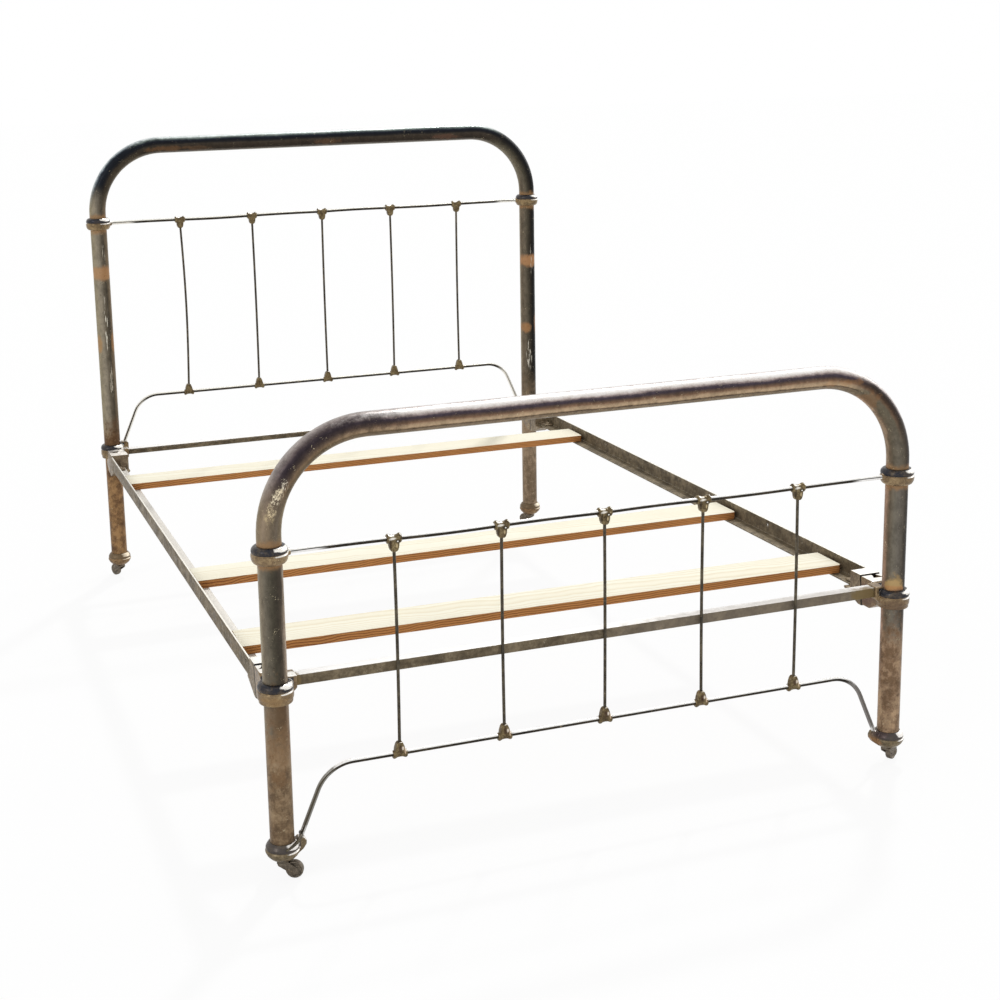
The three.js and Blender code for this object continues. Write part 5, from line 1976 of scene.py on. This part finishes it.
@dataclass
class SideRails:
    """The two long angle irons with their bolts.

    Attributes:
        finishes: Finishes of the bed.
        size: Width of each leg.
        half: Half the length of a rail.
        hole_radius: Radius of the holes in both legs.
        hole_y: Places of the holes in the upright leg.
        bolt_y: Places of the holes and bolts in the level leg.
    """

    finishes: Finishes
    size: float = 38.0
    half: float = 885.0
    hole_radius: float = 4.5
    hole_y: tuple[float, ...] = (-BOLT_Y, -460.0, 460.0, BOLT_Y)
    bolt_y: tuple[float, ...] = (-BOLT_Y, BOLT_Y)

    def build(self) -> None:
        """Builds both rails."""
        size, t = self.size, SIDE_RAIL_WALL
        outline = [(0, 0), (size, 0), (size, t), (t + 2.6, t), (t + 0.8, t + 0.8),
                   (t, t + 2.6), (t, size), (0, size)]
        drill = Form.drum(self.hole_radius, -8, 12, 28)
        holes = [drill.copy().turned_about(90, "Y").moved(0, y, size * 0.66)
                 for y in self.hole_y]
        holes += [drill.copy().moved(size / 2, y, 0) for y in self.bolt_y]
        for side, name in ((-1, "left"), (1, "right")):
            rail = Form.plate(outline, -self.half, self.half, Across.Y).softened(0.9, 2, 50)
            rail = rail.cut(*holes).moved(-size / 2 - BOLT_OUTSET, 0, SIDE_RAIL_Z)
            rail.scaled(-side, 1, 1).moved(side * HALF_SPACING, 0, 0).piece(
                f"long_rail_{name}", self.finishes.angle, "angle_iron", [f"side_rail_{name}"])
            for y in self.bolt_y:
                self.bolt(side, name, y)

    def bolt(self, side: int, name: str, y: float) -> None:
        """Sets the bolt that holds the tab of a hook on the level leg.

        Args:
            side: Side of the rail in X.
            name: Left or right.
            y: Place along the rail.
        """
        x = side * (HALF_SPACING + BOLT_OUTSET)
        low, base = SIDE_RAIL_Z, TAB_Z + TAB_THICKNESS
        dome = Form.turned([(0, base), (8, base), (7.6, base + 2.2), (5, base + 4.4),
                            (0, base + 5)], 36, 0.5)
        shank = Form.drum(4.1, low - 6, base + 1, 24)
        nut = Form.drum(8.2, low - 5, low - 0.2, 6).softened(0.6, 2)
        end = "head" if y > 0 else "foot"
        dome.with_parts(shank, nut).moved(x, y, 0).piece(
            f"rail_bolt_{end}_{name}", self.finishes.hook, "hook_casting")


@dataclass
class Slats:
    """Three loose boards across the rails.

    Attributes:
        places: Place along the bed, angle askew in degrees and heart of the wood in metres.
        half: Half the length of a board.
        width: Width of a board.
        thickness: Thickness of a board.
        bottom_z: Height of the undersides.
        corner: Radius of the rounded corner.
    """

    places: tuple[tuple[float, float, Point], ...] = (
        (657.0, 0.0, (0.1, 0.645, 0.32)), (-272.0, 0.0, (0.2, -0.272, 0.3)),
        (-734.0, -1.0, (0.3, -0.722, 0.28)))
    half: float = 696.0
    width: float = 101.0
    thickness: float = 19.0
    bottom_z: float = TAB_Z
    corner: float = 9.0

    def build(self) -> None:
        """Builds the boards."""
        for number, (y, turn, heart) in enumerate(self.places, start=1):
            finish = PineFinish(f"pine_{number}", heart)
            self.board(turn).moved(0, y, self.bottom_z).piece(
                f"board_{number}", finish, "pine_slat", [f"slat_{number}"],
                f"loose_slat_{number}", 30)

    def board(self, turn: float) -> Form:
        """Makes one board with its front corner rounded at the right end.

        Args:
            turn: How far it lies askew, in degrees.

        Returns:
            The board about the origin, with its underside at height zero.
        """
        half, side = self.half, self.width / 2
        form = Form.plate([(-half, -side), (half, -side), (half, side), (-half, side)], 0.0,
                          self.thickness, Across.Z)
        front = [e for e in form.bm.edges if abs(e.verts[0].co.z - e.verts[1].co.z) > 1
                 and e.verts[0].co.x > 0 and e.verts[0].co.y < 0]
        bmesh.ops.bevel(form.bm, geom=front, offset=self.corner, offset_type="OFFSET",
                        segments=8, profile=0.5, affect="EDGES", material=-1)
        return form.softened(1.1, 3, 50).turned_about(turn, "Z")


@dataclass
class Studio:
    """White surroundings, a pale floor, three lamps and the camera of the photograph.

    Attributes:
        camera_place: Place of the camera in metres.
        yaw: Turn of its view from +Y toward +X, in radians.
        pitch: How far it looks down, in radians.
        roll: How far it is tilted, in radians.
        lens: Focal length in millimetres.
        shift: Shift of the lens, as shares of the picture's width.
        film: Width of the film in millimetres.
        world_light: Strength of the white surroundings as light.
        floor_size: Half the width of the floor in metres.
        floor_glow: Share of plain white in what the camera sees of the floor.
        suns: Name, rotation in degrees, strength and angular size in degrees of each lamp.
    """

    camera_place: Point = (-1.34705, -3.81678, 1.55329)
    yaw: float = 0.3303
    pitch: float = 0.2030
    roll: float = -0.0251
    lens: float = 58.08
    shift: tuple[float, float] = (0.0803, -0.1127)
    film: float = 36.0
    world_light: float = 0.66
    floor_size: float = 40.0
    floor_glow: float = 0.9
    suns: tuple[tuple[str, Point, float, float], ...] = (
        ("sun_right_back", (38, 0, 142), 1.1, 4.0),
        ("sky_right", (68, 0, 108), 0.6, 30.0),
        ("fill_left", (62, 0, -62), 0.45, 20.0))

    def build(self) -> None:
        """Sets up the whole studio."""
        self.world()
        self.floor()
        for lamp in self.suns:
            self.sun(*lamp)
        self.camera()
        bpy.context.scene.view_settings.view_transform = "Standard"

    def world(self) -> None:
        """White for the eye and for reflections, softer as light."""
        world = bpy.data.worlds.new("white_room")
        bpy.context.scene.world = world
        world.use_nodes = True
        world.node_tree.nodes.clear()
        bench = Bench(world.node_tree)
        path = bench.put("ShaderNodeLightPath")
        seen = bench.calc("MAXIMUM", path.outputs["Is Camera Ray"],
                          path.outputs["Is Glossy Ray"])
        seen = bench.calc("MAXIMUM", seen, path.outputs["Is Transmission Ray"])
        strength = bench.span(seen, 0.0, 1.0, self.world_light, 1.0)
        light = bench.put("ShaderNodeBackground", {"Color": (1, 1, 1, 1),
                                                   "Strength": strength})
        bench.put("ShaderNodeOutputWorld", {0: light.outputs[0]})

    def floor(self) -> None:
        """A pale floor that keeps a soft shadow."""
        bm = bmesh.new()
        bmesh.ops.create_grid(bm, x_segments=1, y_segments=1, size=self.floor_size)
        mesh = bpy.data.meshes.new("floor")
        bm.to_mesh(mesh)
        bm.free()
        floor = bpy.data.objects.new("floor", mesh)
        bpy.context.scene.collection.objects.link(floor)
        material = bpy.data.materials.new("floor_white")
        material.use_nodes = True
        material.node_tree.nodes.clear()
        bench = Bench(material.node_tree)
        matt = bench.put("ShaderNodeBsdfDiffuse", {"Color": (0.9, 0.9, 0.9, 1)})
        glow = bench.put("ShaderNodeEmission", {"Color": (1, 1, 1, 1), "Strength": 1.0})
        path = bench.put("ShaderNodeLightPath")
        share = bench.times(path.outputs["Is Camera Ray"], self.floor_glow)
        both = bench.put("ShaderNodeMixShader", {0: share, 1: matt.outputs[0],
                                                 2: glow.outputs[0]})
        bench.put("ShaderNodeOutputMaterial", {0: both.outputs[0]})
        mesh.materials.append(material)

    def sun(self, name: str, turn: Point, power: float, size: float) -> None:
        """Adds a sun lamp.

        Args:
            name: Name of the lamp.
            turn: Its rotation in degrees.
            power: Its strength.
            size: Its angular size in degrees.
        """
        lamp = bpy.data.lights.new(name, "SUN")
        lamp.energy = power
        lamp.angle = math.radians(size)
        thing = bpy.data.objects.new(name, lamp)
        thing.rotation_euler = [math.radians(a) for a in turn]
        bpy.context.scene.collection.objects.link(thing)

    def camera(self) -> None:
        """Puts the camera where the photograph was taken from."""
        data = bpy.data.cameras.new("camera")
        data.lens = self.lens
        data.sensor_width = self.film
        data.sensor_fit = "HORIZONTAL"
        data.shift_x, data.shift_y = self.shift
        data.clip_end = 200.0
        ahead = Vector((math.sin(self.yaw) * math.cos(self.pitch),
                        math.cos(self.yaw) * math.cos(self.pitch), -math.sin(self.pitch)))
        right = Vector((math.cos(self.yaw), -math.sin(self.yaw), 0.0))
        up = right.cross(ahead)
        c, s = math.cos(self.roll), math.sin(self.roll)
        axes = Matrix((c * right + s * up, -s * right + c * up, -ahead)).transposed()
        thing = bpy.data.objects.new("camera", data)
        thing.matrix_world = Matrix.Translation(self.camera_place) @ axes.to_4x4()
        bpy.context.scene.collection.objects.link(thing)
        bpy.context.scene.camera = thing


def main() -> None:
    """Dresses the bed, sets the studio and logs the face count of each piece."""
    logging.basicConfig(level=logging.INFO, format="%(name)s %(message)s")
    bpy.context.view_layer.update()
    finishes = Finishes()
    BedEnd(finishes, "foot", -1, (1.5, -1.0, 0.8, -1.2, 1.0)).build()
    BedEnd(finishes, "head", 1, (6.0, 1.5, -1.0, 1.2, -1.5)).build()
    Fittings(finishes, {Corner.FOOT_LEFT: -24.0, Corner.FOOT_RIGHT: 32.0,
                        Corner.HEAD_LEFT: 118.0, Corner.HEAD_RIGHT: 122.0}).build()
    SideRails(finishes).build()
    Slats().build()
    Studio().build()


if __name__ == "__main__":
    main()
